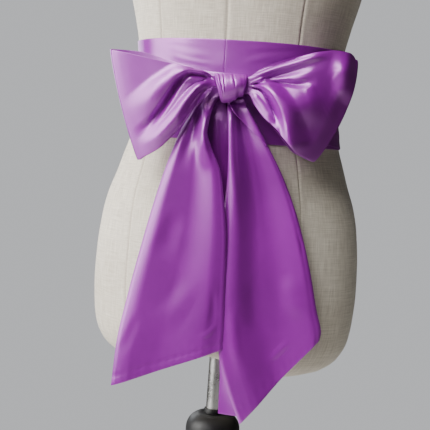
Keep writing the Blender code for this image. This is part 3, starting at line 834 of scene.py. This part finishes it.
wrapColumns = "turn top low out"
wrapLook = {
    "along": 190,
    "across": 56,
    "spread": 1.25,        # packs the columns closer at the knot
    "gatherReach": 0.22,
    "gatherWidth": 0.06,
    "left": {
        "columns": wrapColumns,
        "rows": [
            (12, 1028, 1007, 0), (4, 1030, 1003, 0), (-6, 1032, 996, 0), (-16, 1035, 984, 0),
            (-30, 1039, 969, 0), (-52, 1047, 956, 0), (-80, 1059, 952, 0), (-115, 1066, 951, 0),
            (-155, 1068, 952, 0), (-200, 1066, 954, 0),
        ],
        "folds": [
            ((0.10, 0.15, 0.12), (0.7, 0.5, 0.1), 0.08),
            ((0.24, 0.17, 0.26), (0.9, 1.3, 0.5), 0.09),
            ((0.38, 0.40, 0.33), (0.7, 0.2, 1.0), 0.11),
            ((0.52, 0.44, 0.50), (0.9, 1.4, 0.3), 0.08),
            ((0.68, 0.73, 0.62), (0.8, 0.8, 0.9), 0.13),
            ((0.84, 0.78, 0.86), (0.6, 1.1, 0.2), 0.08),
            ((0.92, 0.93, 0.90), (0.4, 0.1, 0.6), 0.06),
        ],
    },
    "right": {
        "columns": wrapColumns,
        "rows": [
            (14.5, 1026, 1002, 0), (22, 1033, 991, 0), (32, 1041, 977, 0), (46, 1049, 964, 0),
            (64, 1057, 955, 0), (90, 1063, 952, 0), (125, 1066, 951, 0), (140, 1067, 951, 0),
            (154, 1067, 951, 2.8), (206, 1064, 956, 2.8),
        ],
        "folds": [
            ((0.09, 0.12, 0.20), (0.5, 0.8, 0.2), 0.07),
            ((0.22, 0.26, 0.16), (0.8, 0.3, 1.0), 0.09),
            ((0.36, 0.33, 0.40), (0.8, 1.3, 0.4), 0.10),
            ((0.50, 0.55, 0.46), (0.6, 0.4, 1.1), 0.08),
            ((0.66, 0.62, 0.70), (0.9, 1.4, 0.5), 0.12),
            ((0.82, 0.85, 0.78), (0.7, 0.6, 0.9), 0.09),
        ],
    },
    # beside the knot: place across at the knot and where it fades, and rise
    "gathers": [
        (0.05, 0.05, 0.7), (0.16, 0.12, 0.8), (0.30, 0.26, 0.6), (0.44, 0.40, 0.9),
        (0.60, 0.58, 0.7), (0.74, 0.75, 0.8), (0.90, 0.93, 0.6),
    ],
}


def wrapShape(table):
    first = table["rows"][0][0]
    last = table["rows"][-1][0]

    def shape(u, v):
        along = u ** wrapLook["spread"]
        turn = first + (last - first) * along
        top = readTable(table, "top", turn)
        low = readTable(table, "low", turn)
        out = bandClear + clothWall + wrapClear + readTable(table, "out", turn)
        rise = foldHeight(table["folds"], along, v)
        part = np.clip(along / wrapLook["gatherReach"], 0, 1)
        for start, end, high in wrapLook["gathers"]:
            away = np.abs(v - start - (end - start) * part) / wrapLook["gatherWidth"]
            rise = rise + high * eased(1 - part) * np.cos(np.clip(away, 0, 1) * math.pi / 2) ** 2
        return formPoints(turn, top + (low - top) * v, out + rise)

    return shape


def makeWrap(name, node, table):
    work = gridSheet(wrapLook["along"], wrapLook["across"], wrapShape(table), (0.118, 0.42))
    faceAwayFrom(work, Vector((0, 0, 0)), 0)
    piece = finishPiece(work, name, satin, [node])
    addWall(piece, 1.0)


makeWrap("wrapLeft", "wrap_left", wrapLook["left"])
makeWrap("wrapRight", "wrap_right", wrapLook["right"])


print("bow loops")

# a loop's front leg from the knot outwards, and the gaps between it and the back leg
loopColumns = "along topAcross topUp topForward lowAcross lowUp lowForward topGap lowGap"
loopLeftLook = {
    "columns": loopColumns,
    "rows": [
        (0.00, -19, 1020, 126, -18, 1010, 127, 11, 5),
        (0.06, -30, 1023, 127, -30, 1013, 128, 12, 5),
        (0.14, -42, 1029, 128, -40, 1006, 130, 15, 5),
        (0.28, -60, 1032, 128, -51, 987, 132, 18, 6),
        (0.42, -78, 1035, 126, -63, 966, 131, 21, 8),
        (0.56, -97, 1038, 122, -75, 952, 125, 22, 10),
        (0.70, -114, 1041, 117, -88, 938, 116, 20, 11),
        (0.84, -131, 1044, 111, -99, 930, 108, 16, 10),
        (0.94, -144, 1046, 105, -107, 925, 102, 10, 7),
        (1.00, -151, 1047, 101, -112, 921, 98, 6, 5),
    ],
    "bow": 4,
    "outwards": -1,
    "backLift": (0, 3.5, 7.5, 3.0),
    "swing": 13,
    "puff": (0, 0, 0, 0, 0),
    "front": [
        ([(-28, 1020), (-47, 1026), (-67, 1025), (-86, 1012), (-103, 993), (-122, 967)],
         (7, 27), 8.0, (0.15, 0.35)),
        ([(-28, 1018), (-45, 1024), (-58, 1024), (-70, 1015), (-80, 998), (-93, 977), (-106, 960),
          (-120, 948)], (4, 10), -8.0, (0.12, 0.35)),
        ([(-30, 1016), (-42, 1014), (-60, 995), (-72, 974), (-91, 951), (-112, 933)],
         (5, 14), 6.5, (0.15, 0.25)),
        ([(-36, 1011), (-48, 992), (-60, 973), (-75, 952), (-91, 937)], (3, 6), -3.0, (0.2, 0.3)),
        ([(-62, 1031), (-47, 1030), (-38, 1026), (-31, 1020)], (2.2, 2.6), -5.0, (0.4, 0.15)),
        ([(-36, 1021), (-50, 1014), (-62, 1003)], (2.5, 4), -1.6, (0.2, 0.5)),
        ([(-70, 988), (-84, 968), (-98, 953)], (3, 5), 1.0, (0.4, 0.4)),
    ],
    "back": [
        ([(-34, 1019), (-60, 1014), (-88, 1004), (-118, 992)], (5, 20), -4.0, (0.2, 0.35)),
        ([(-34, 1012), (-55, 992), (-76, 968), (-98, 950)], (4, 13), 3.0, (0.2, 0.35)),
        ([(-40, 1024), (-80, 1027), (-118, 1029)], (4, 9), 2.0, (0.3, 0.4)),
        ([(-50, 1004), (-78, 988), (-104, 970)], (3, 8), -2.0, (0.3, 0.4)),
    ],
}
loopRightLook = {
    "columns": loopColumns,
    "rows": [
        (0.00, 0, 1025, 126, 0, 1008, 128, 9, 5),
        (0.07, 10, 1026, 127, 10, 1007, 129, 11, 5),
        (0.16, 24, 1035, 127, 19, 994, 131, 14, 5),
        (0.30, 45, 1044, 125, 30, 981, 133, 17, 6),
        (0.45, 68, 1053, 120, 43, 970, 131, 20, 8),
        (0.60, 90, 1060, 114, 56, 956, 126, 21, 10),
        (0.75, 108, 1063, 109, 69, 943, 117, 20, 11),
        (0.88, 123, 1062, 104, 81, 938, 108, 15, 10),
        (0.95, 129, 1060, 100, 88, 935, 104, 10, 7),
        (1.00, 133, 1056, 98, 92, 934, 102, 6, 5),
    ],
    "bow": 12,
    "outwards": 1,
    "backLift": (0, 4.5, 4.0, 0.5),
    "swing": 17,
    "puff": (0, 4, 15, 13, 1),
    "front": [
        ([(8, 1022), (20, 1029), (38, 1037), (60, 1045), (85, 1054), (106, 1059)],
         (3.5, 8), 3.5, (0.12, 0.3)),
        ([(10, 1025), (22, 1032), (40, 1040.5), (62, 1049), (86, 1057)], (1.3, 2.0), -1.6, (0.12, 0.3)),
        ([(14, 1018), (28, 1024), (45, 1030), (62, 1036), (80, 1043), (98, 1050)],
         (2.5, 10), -4.0, (0.1, 0.5)),
        ([(12, 1017), (24, 1019.5), (38, 1022), (50, 1022), (64, 1021), (76, 1023), (88, 1031)],
         (2.2, 9), -6.0, (0.1, 0.35)),
        ([(104, 1014), (90, 1003), (74, 998), (58, 1000), (46, 1004), (34, 1009), (24, 1013), (14, 1016)],
         (36, 6), 7.5, (0.3, 0.3), 1.2),
        ([(12, 1017), (22, 1018), (32, 1014), (40, 1006), (47, 995), (54, 981), (59, 966), (64, 950),
          (70, 937)], (4.5, 12), 10.0, (0.2, 0.15), 2.4),
        ([(12, 1014), (22, 1012.5), (28, 1008.5), (34, 1001), (39, 992), (43, 982), (47, 969)],
         (2.2, 4.5), -5.5, (0.1, 0.4)),
        ([(13, 1010), (20, 1003), (26, 996), (34, 986), (43, 974)], (4, 8), 3.0, (0.2, 0.3)),
        ([(100, 1048), (113, 1044), (122, 1034), (126, 1018), (122, 1000)], (20, 24), 9.0, (0.35, 0.35)),
    ],
    "back": [
        ([(12, 1017), (40, 1020), (70, 1022), (100, 1024)], (4, 18), -4.0, (0.2, 0.35)),
        ([(12, 1012), (32, 996), (52, 976), (72, 956)], (4, 12), 3.0, (0.2, 0.35)),
        ([(20, 1026), (56, 1040), (92, 1050)], (3, 8), 2.0, (0.3, 0.4)),
        ([(24, 1010), (54, 1000), (84, 986)], (3, 10), -2.5, (0.3, 0.4)),
    ],
}
loopGrid = {
    "reach": 78,           # columns in each leg of a loop
    "bend": 12,            # and round its outer end
    "across": 130,
    "spread": 1.1,         # packs the columns closer at the knot
    "opens": 0.16,
    "liftStations": (0, 0.35, 0.7, 1),
    "liftOut": 0.8,
    "puffStations": (0, 0.3, 0.6, 0.85, 1),
    "hollowShare": 0.62,   # how much of the gap the back leg's creases may fill
    "hollowDeepest": -6,
}


def loopShape(look):
    legs = 2 * loopGrid["reach"] + loopGrid["bend"]
    bendShare = loopGrid["bend"] / legs

    def shape(u, v):
        fromMiddle = np.abs(u - 0.5) * 2
        along = np.clip((1 - fromMiddle) / (1 - bendShare), 0, 1) ** loopGrid["spread"]
        bent = np.clip((u - 0.5) / bendShare + 0.5, 0, 1) * math.pi
        row = {}
        for name in loopColumns.split()[1:]:
            row[name] = readTable(look, name, along)
        gap = row["topGap"] + (row["lowGap"] - row["topGap"]) * v
        side = row["topAcross"] + (row["lowAcross"] - row["topAcross"]) * v
        up = row["topUp"] + (row["lowUp"] - row["topUp"]) * v
        forward = row["topForward"] + (row["lowForward"] - row["topForward"]) * v
        bulge = np.clip(np.sin(math.pi * v), 0, 1) ** 0.7 * along ** 3
        reach = np.sin(bent) * gap / 2 + look["bow"] * bulge
        back = (1 - np.cos(bent)) / 2
        side = side + look["outwards"] * reach
        lift = smoothThrough(loopGrid["liftStations"], look["backLift"], along) * (1 - v) ** 1.5
        up = up + back * lift
        side = side + back * look["outwards"] * lift * loopGrid["liftOut"] * along ** 4
        opened = eased(along / loopGrid["opens"])
        raised = opened * creaseHeight(look["front"], side, up)
        hollow = opened * creaseHeight(look["back"], side, up)
        hollow = np.maximum(hollow, loopGrid["hollowDeepest"])
        hollow = np.minimum(hollow, gap * loopGrid["hollowShare"] * back)
        forward = forward - back * gap + (1 - back) * raised + back * hollow
        puff = smoothThrough(loopGrid["puffStations"], look["puff"], along)
        forward = forward + (1 - back) * (look["swing"] * along ** 1.5 + puff)
        return bowPoints(side, forward, up)

    return shape


def makeLoop(name, node, look):
    legs = 2 * loopGrid["reach"] + loopGrid["bend"]
    work = gridSheet(legs, loopGrid["across"], loopShape(look), (0.14, 0.31))
    piece = finishPiece(work, name, satin, [node])
    addWall(piece)


makeLoop("loopLeft", "loop_left", loopLeftLook)
makeLoop("loopRight", "loop_right", loopRightLook)


print("knot")

knotLook = {
    "columns": "station topAcross lowAcross forward up forwardRadius upRadius",
    "rows": [
        (0.0, -30.5, -21.0, 121.5, 1012.0, 17.5, 16.5),
        (0.2, -26.0, -16.0, 122.2, 1011.5, 18.8, 17.0),
        (0.4, -17.5, -10.0, 122.8, 1012.5, 19.2, 16.5),
        (0.6, -8.0, -4.0, 123.0, 1014.0, 19.2, 15.0),
        (0.8, 1.0, 0.0, 122.8, 1016.0, 18.8, 13.2),
        (1.0, 8.5, 5.5, 122.2, 1016.5, 17.5, 12.5),
    ],
    "middle": (-10.0, 122.5, 1014.0),
    "ripple": 0.35,       # behind, where it lies on the wraps
    "rolled": 1.3,        # the ends turn in under the loops
    "rolledShare": 0.05,
    "along": 60,
    "round": 160,
    "creases": [
        ([(-31, 1034), (-29, 1026), (-26, 1016), (-22.5, 1006), (-20, 996)], (1.3, 1.6), -0.9, (0.05, 0.2)),
        ([(-28.5, 1034), (-26.5, 1026), (-24, 1016), (-21, 1008), (-19, 998)], (1.3, 1.8), 0.8, (0.05, 0.2)),
        ([(-26, 1034), (-24, 1026), (-21.5, 1015), (-19.5, 1005)], (0.9, 1.2), -0.8, (0.05, 0.3)),
        ([(-24, 1034), (-22, 1027), (-20, 1018), (-18, 1008), (-17.5, 1000)], (1.2, 1.8), 0.6, (0.05, 0.3)),
        ([(-21, 1034), (-19, 1024), (-17.3, 1012), (-16.5, 1003)], (0.9, 1.2), -0.5, (0.05, 0.4)),
        ([(-9.5, 1034), (-8, 1026), (-6, 1018), (-5, 1010)], (0.9, 1.1), -0.8, (0.05, 0.3)),
        ([(-12, 1032), (-10, 1023), (-8.3, 1014)], (1.8, 2.0), 0.4, (0.2, 0.4)),
        ([(0.5, 1034), (1, 1026), (3, 1018), (3.5, 1008)], (2.4, 3), -0.3, (0.1, 0.4)),
        ([(5, 1033), (5.5, 1024), (6, 1014)], (1.0, 1.2), -0.6, (0.1, 0.4)),
        ([(-19, 1002), (-9, 1004), (1, 1009)], (1.8, 2.2), 0.5, (0.3, 0.3)),
    ],
}


def knotShape(u, v):
    look = knotLook
    row = {}
    for name in look["columns"].split()[1:]:
        row[name] = readTable(look, name, u)
    angle = v * 2 * math.pi
    high = (1 + np.sin(angle)) / 2
    side = row["lowAcross"] + (row["topAcross"] - row["lowAcross"]) * high
    up = row["up"] + row["upRadius"] * np.sin(angle)
    crease = creaseHeight(look["creases"], side, up) * np.clip(np.cos(angle) * 1.6, 0, 1)
    crease = crease + look["ripple"] * np.sin(u * 37 + 2 * np.sin(angle)) * np.clip(-np.cos(angle), 0, 1)
    fromEnds = eased(u / look["rolledShare"]) * eased((1 - u) / look["rolledShare"])
    rolled = look["rolled"] * (1 - fromEnds)
    forward = row["forward"] + (row["forwardRadius"] + crease - rolled) * np.cos(angle)
    up = up + (crease * 0.5 - rolled) * np.sin(angle)
    return bowPoints(side, forward, up)


def makeKnot():
    work = gridSheet(knotLook["along"], knotLook["round"], knotShape, (0.10, 0.036))
    bmesh.ops.remove_doubles(work, verts=work.verts, dist=0.00001)
    faceAwayFrom(work, Vector(bowPoints(*knotLook["middle"]).tolist()), 1)
    piece = finishPiece(work, "knotWrap", satin, ["knot"])
    addWall(piece, -1.0)


makeKnot()


print("hanging ends")

# both long edges of a tail, from the knot down; "ramps" step the cloth up across its width,
# "folds" are long ridges and "creases" short ones, and a rise under zero is a hollow
tailColumns = "along leftAcross leftUp leftForward rightAcross rightUp rightForward"
tailLeftLook = {
    "columns": tailColumns,
    "rows": [
        (0.00, -30, 1017, 101.4, -15, 1012, 102.0),
        (0.03, -35, 1008, 102.4, -22, 1003, 102.8),
        (0.05, -40, 1002, 104.0, -26, 997, 104.0),
        (0.07, -45, 996, 107.0, -29, 991, 107.0),
        (0.10, -51, 987, 111.5, -31, 984, 111.5),
        (0.17, -62, 966, 118.5, -34, 960, 119.0),
        (0.23, -69, 948, 121.0, -29, 944, 121.0),
        (0.34, -79, 917, 121.0, -15, 913, 120.0),
        (0.46, -89, 880, 121.0, -8, 876, 119.0),
        (0.60, -102, 822, 122.0, -2, 831, 119.0),
        (0.74, -114, 762, 122.0, 0, 788, 119.0),
        (0.88, -124, 701, 123.0, 2, 742, 120.0),
        (1.00, -127, 649, 124.0, 3, 704, 121.0),
    ],
    "ramps": [
        ((0.00, -0.02, -0.02), (14.0, 16.0, 11.0), 0.36),
        ((0.66, 0.74, 0.60), (9.0, 11.0, 7.0), 0.50),
    ],
    "folds": [
        ((1.00, 0.98, 0.96), (-2.0, -2.5, -2.0), 0.16),
    ],
    "creases": [
        ([(-33, 1006), (-37, 998), (-39, 985), (-39, 966), (-38, 950), (-36, 930), (-34, 905)],
         (4, 13), 5.5, (0.12, 0.6)),
        ([(-38, 1002), (-45, 990), (-48, 975), (-52, 955), (-57, 935), (-62, 905)],
         (3, 12), -4.0, (0.12, 0.6)),
        ([(-24, 985), (-21, 955), (-16, 930)], (3, 6), -2.5, (0.2, 0.5)),
        ([(-60, 870), (-70, 835), (-78, 800)], (14, 20), -1.6, (0.4, 0.4)),
        ([(-36, 790), (-52, 755), (-78, 722)], (16, 22), 1.6, (0.4, 0.4)),
        ([(-14, 780), (-12, 750), (-14, 722)], (5, 8), -1.0, (0.4, 0.4)),
        ([(-6, 735), (-16, 722), (-28, 716)], (4, 5), 0.7, (0.3, 0.4)),
        ([(-100, 742), (-108, 712), (-116, 686)], (7, 10), -0.9, (0.4, 0.4)),
    ],
    "length": 372,
    "width": 130,
    "lift": 0,
    "clear": 5.0,
    "edgeLine": 0.05,
    "edgeDepth": 0.15,
}
tailRightLook = {
    "columns": tailColumns,
    "rows": [
        (0.00, -12, 1013, 102.0, 4, 1013, 102.4),
        (0.03, -12, 1001, 102.6, 6, 1003, 102.9),
        (0.045, -12, 996, 107.5, 8, 999, 107.0),
        (0.06, -12, 991, 115.0, 10, 994, 113.0),
        (0.085, -11, 982, 119.5, 15, 985, 116.5),
        (0.12, -10, 971, 121.0, 22, 974, 117.5),
        (0.20, -8, 948, 122.0, 38, 948, 117.0),
        (0.32, -6, 908, 122.0, 61, 908, 117.0),
        (0.46, -8, 855, 121.0, 83, 856, 118.0),
        (0.60, -9, 797, 121.0, 100, 801, 118.0),
        (0.74, -8, 738, 121.0, 111, 757, 118.0),
        (0.84, 0, 694, 122.0, 117, 738, 118.0),
        (0.93, 14, 652, 122.0, 118, 731, 118.0),
        (1.00, 30, 615, 123.0, 117, 723, 118.0),
    ],
    "ramps": [
        ((0.06, 0.10, 0.10), (2.0, 6.5, 1.5), 0.26),
        ((0.30, 0.28, 0.34), (-9.0, -12.0, -8.0), 0.36),
        ((0.80, 0.80, 0.74), (9.0, 13.0, 9.0), 0.54),
    ],
    "folds": [
        ((1.00, 1.00, 1.00), (-1.0, -2.0, -1.5), 0.10),
    ],
    "creases": [
        ([(-9, 992), (-8, 972), (-4, 930), (3, 880), (9, 840)], (4, 12), 4.0, (0.12, 0.6)),
        ([(2, 978), (10, 945), (18, 905), (26, 860)], (5, 16), -3.0, (0.15, 0.6)),
        ([(30, 800), (38, 760), (44, 712)], (16, 22), -1.6, (0.4, 0.4)),
        ([(70, 800), (82, 770), (88, 742)], (16, 20), 1.5, (0.4, 0.4)),
        ([(10, 760), (16, 715), (26, 676)], (8, 12), 1.2, (0.4, 0.4)),
        ([(64, 898), (74, 880), (80, 858)], (3, 4), 0.8, (0.4, 0.4)),
        ([(78, 850), (86, 836), (90, 818)], (3, 4), -0.8, (0.4, 0.4)),
        ([(56, 690), (66, 700), (84, 722)], (5, 7), 0.8, (0.4, 0.4)),
    ],
    "length": 398,
    "width": 124,
    "lift": 6.5,
    "clear": 2.4,
    "edgeLine": 0.045,
    "edgeDepth": 0.5,
}
hemLook = {
    "back": 9.5,           # the sewn line's distance from the slanted end
    "depth": 0.5,
    "width": 1.1,
    "pucker": 0.13,
    "pitch": 9.5,
    "puckerReach": 6,
    "edgeWidth": 1.0,      # the line inside the long edge
    "edgePitch": 8.3,
    "edgeReach": 5,
    "fadesIn": 0.3,
}
tailGrid = {
    "along": 170,
    "across": 74,
    "spread": 1.15,        # packs the rows closer at the knot
    "opens": 0.14,
    "curl": 1.7,           # the long edges turn back a little
    "curlWidth": 4.5,
    "lift": (0.05, 0.2),       # where a tail's lift starts, and over how much of it
    "clear": (0.06, 0.08),     # and the same for what keeps it off the form
}


def tailPlace(look, u, v):
    row = {}
    for name in tailColumns.split()[1:]:
        row[name] = readTable(look, name, u)
    side = row["leftAcross"] + (row["rightAcross"] - row["leftAcross"]) * v
    up = row["leftUp"] + (row["rightUp"] - row["leftUp"]) * v
    forward = row["leftForward"] + (row["rightForward"] - row["leftForward"]) * v
    opened = eased(u / tailGrid["opens"])
    relief = foldHeight(look["folds"], u, v) + creaseHeight(look["creases"], side, up)
    for places, rises, width in look["ramps"]:
        place = smoothThrough(foldStations, places, u)
        rise = smoothThrough(foldStations, rises, u)
        relief = relief + rise * (eased((v - place) / width + 0.5) - 0.5)
    edge = np.minimum(v, 1 - v) * look["width"]
    curl = tailGrid["curl"] * (1 - eased(edge / tailGrid["curlWidth"])) ** 2
    start, over = tailGrid["lift"]
    lift = look["lift"] * eased((u - start) / over)
    forward = forward + opened * relief + lift - curl
    start, over = tailGrid["clear"]
    held = eased((u - start) / over)
    return side, forward + held * (overForm(side, forward, up, look["clear"]) - forward), up


def hemRelief(look, u, v):
    # the sewn line above the slanted end, the line inside the long edge, and their uneven small puckers
    fromHem = (1 - u) * look["length"] - hemLook["back"]
    line = -hemLook["depth"] * np.exp(-(fromHem / hemLook["width"]) ** 2)
    wave = np.sin(v * look["width"] / hemLook["pitch"] * 2 * math.pi + 1.7 * np.sin(v * 9))
    line = line + hemLook["pucker"] * wave * np.exp(-np.abs(fromHem) / hemLook["puckerReach"])
    across = (1 - v) * look["width"]
    fromLine = (across - look["edgeLine"] * look["width"]) / hemLook["edgeWidth"]
    wave = np.sin(u * look["length"] / hemLook["edgePitch"] * 2 * math.pi + 2.1 * np.sin(u * 23))
    edge = -np.exp(-fromLine ** 2) + 0.5 * wave * np.exp(-across / hemLook["edgeReach"])
    return (line + look["edgeDepth"] * edge) * eased(u / hemLook["fadesIn"])


def tailShape(look, hems):
    def shape(u, v):
        along = u ** tailGrid["spread"]
        side, forward, up = tailPlace(look, along, v)
        if hems:
            forward = forward + hemRelief(look, along, v)
        return bowPoints(side, forward, up)

    return shape


def makeTail(name, node, look, flat):
    work = gridSheet(tailGrid["along"], tailGrid["across"], tailShape(look, True), flat)
    piece = finishPiece(work, name, satin, [node])
    addWall(piece)


makeTail("tailLeft", "tail_left", tailLeftLook, (0.14, 0.36))
makeTail("tailRight", "tail_right", tailRightLook, (0.14, 0.42))

pleatLook = {
    "along": 110,
    "across": 18,
    "width": 28,
    "lift": 0,
    "clear": 1.0,
    "ramps": [],
    "columns": tailColumns,
    "rows": [
        (0.00, -27, 1000.8, 102.7, -14, 998, 102.3),
        (0.06, -32, 986, 103.0, -9, 984, 105.0),
        (0.10, -36, 975, 106.0, -6, 972, 108.0),
        (0.20, -37, 948, 110.0, -2, 946, 111.5),
        (0.36, -27, 900, 111.5, 0, 898, 112.5),
        (0.60, -15, 830, 113.2, 3, 828, 113.8),
        (0.82, -10, 765, 113.8, 5, 763, 114.2),
        (1.00, -8, 712, 114.5, 6, 706, 115.0),
    ],
    "folds": [((0.55, 0.55, 0.50), (1.5, 1.2, 0.5), 0.35)],
    "creases": [
        ([(-22, 985), (-18, 955), (-14, 915), (-8, 870)], (3, 6), -1.6, (0.2, 0.4)),
        ([(-12, 975), (-10, 950), (-8, 925)], (2.5, 4), 1.4, (0.2, 0.4)),
    ],
}


def makePleat():
    work = gridSheet(pleatLook["along"], pleatLook["across"], tailShape(pleatLook, False), (0.03, 0.30))
    # the pleat takes the satin copy whose colour is darkened as painted shade
    piece = finishPiece(work, "tailLeftPleat", satinPaintedShade, ["tail_left_pleat"])
    addWall(piece)


makePleat()

stitchLook = {
    "long": 2.3,
    "uneven": 0.12,
    "pitch": 3.0,
    "wide": 0.42,
    "high": 0.34,
    "colour": (0.46, 0.13, 0.54),
    "mottle": {"Scale": 400.0, "Low": 0.4, "High": 0.6},
    "hem": (0.02, 0.98),       # where the row across an end starts and stops
    "edgeStart": 0.24,         # and the row down the right tail's edge starts
}


def onTail(look, u, v):
    side, forward, up = tailPlace(look, u, v)
    return bowPoints(side, forward + hemRelief(look, u, v) + clothWall / 2, up)


def sewRow(work, look, start, end):
    # one row of stitches on the front of a tail, between two places on it
    part = np.linspace(0, 1, 600)
    u = start[0] + (end[0] - start[0]) * part
    v = start[1] + (end[1] - start[1]) * part
    line = onTail(look, u, v)
    outwards = np.cross(onTail(look, u, v + 0.01) - line, onTail(look, u - 0.005, v) - line)
    run = np.concatenate([[0], np.cumsum(np.linalg.norm(np.diff(line, axis=0), axis=1))]) / mm
    places = np.arange(stitchLook["pitch"], run[-1] - stitchLook["pitch"], stitchLook["pitch"])
    for count, place in enumerate(places):
        k = int(np.clip(np.searchsorted(run, place), 1, len(run) - 2))
        along = Vector((line[k + 1] - line[k - 1]).tolist()).normalized()
        out = Vector(outwards[k].tolist()).normalized()
        sideways = out.cross(along).normalized()
        along = along * stitchLook["long"] * (1 + stitchLook["uneven"] * math.sin(count * 2.3))
        turn = Matrix((along, sideways * stitchLook["wide"], out * stitchLook["high"])).transposed()
        matrix = Matrix.Translation(line[k].tolist()) @ turn.to_4x4() @ Matrix.Scale(mm / 2, 4)
        bmesh.ops.create_uvsphere(work, u_segments=6, v_segments=6, radius=1, matrix=matrix)


def makeThread():
    material, tree, shader = newMaterial("purpleThread")
    mottle = placedMottle(tree, **stitchLook["mottle"])
    wire(tree, mottle, "Tone", shader, "Roughness")
    shader.inputs["Base Color"].default_value = (*stitchLook["colour"], 1)
    return material


def makeStitches():
    work = bmesh.new()
    start, stop = stitchLook["hem"]
    for look in (tailLeftLook, tailRightLook):
        hem = 1 - hemLook["back"] / look["length"]
        sewRow(work, look, (hem, start), (hem, stop))
    edge = 1 - tailRightLook["edgeLine"]
    sewRow(work, tailRightLook, (stitchLook["edgeStart"], edge), (hem, edge))      # down to its hem
    finishPiece(work, "hemStitches", makeThread(), [])


makeStitches()

overlayLook = {
    "columns": "along inner innerLift outerLift",
    "rows": [
        (0.050, 0.10, 2.0, 2.4), (0.070, 0.20, 3.2, 2.2), (0.095, 0.40, 4.0, 1.4),
        (0.140, 0.70, 3.5, 0.5), (0.175, 0.88, 2.0, 0.1), (0.198, 0.96, 0.6, 0.0),
    ],
}
turnBackLook = {
    "columns": "along freeAcross freeUp freeForward",
    "rows": [
        (0.84, 0.2, 693, 120.6), (0.90, 2.5, 668, 118.0), (0.95, 3.0, 643, 118.0),
        (0.985, 3.5, 624, 118.5),
    ],
    "under": 0.012,
}


def alongRows(look, u):
    first = look["rows"][0][0]
    return first + (look["rows"][-1][0] - first) * u


def overlayShape(u, v):
    # the tail's edge turned over onto its front
    along = alongRows(overlayLook, u)
    inner = readTable(overlayLook, "inner", along)
    side, forward, up = tailPlace(tailRightLook, along, inner + (1 - inner) * v)
    innerLift = readTable(overlayLook, "innerLift", along)
    outerLift = readTable(overlayLook, "outerLift", along)
    lift = innerLift * (1 - v) + outerLift * v
    return bowPoints(side, forward + clothWall + foldGap + lift, up)


def turnBackShape(u, v):
    # the tail's corner curled back under it
    along = alongRows(turnBackLook, u)
    side, forward, up = tailPlace(tailRightLook, along, np.full(along.shape, turnBackLook["under"]))
    forward = forward - clothWall - foldGap
    side = readTable(turnBackLook, "freeAcross", along) * (1 - v) + side * v
    forward = readTable(turnBackLook, "freeForward", along) * (1 - v) + forward * v
    up = readTable(turnBackLook, "freeUp", along) * (1 - v) + up * v
    return bowPoints(side, forward, up)


def makeFold(name, node, shape, flat):
    work = gridSheet(60, 24, shape, flat)
    piece = finishPiece(work, name, satin, [node])
    addWall(piece)


makeFold("tailRightOverlay", "tail_right_overlay", overlayShape, (0.03, 0.075))
makeFold("tailRightTurnBack", "tail_right_turn_back", turnBackShape, (0.014, 0.085))
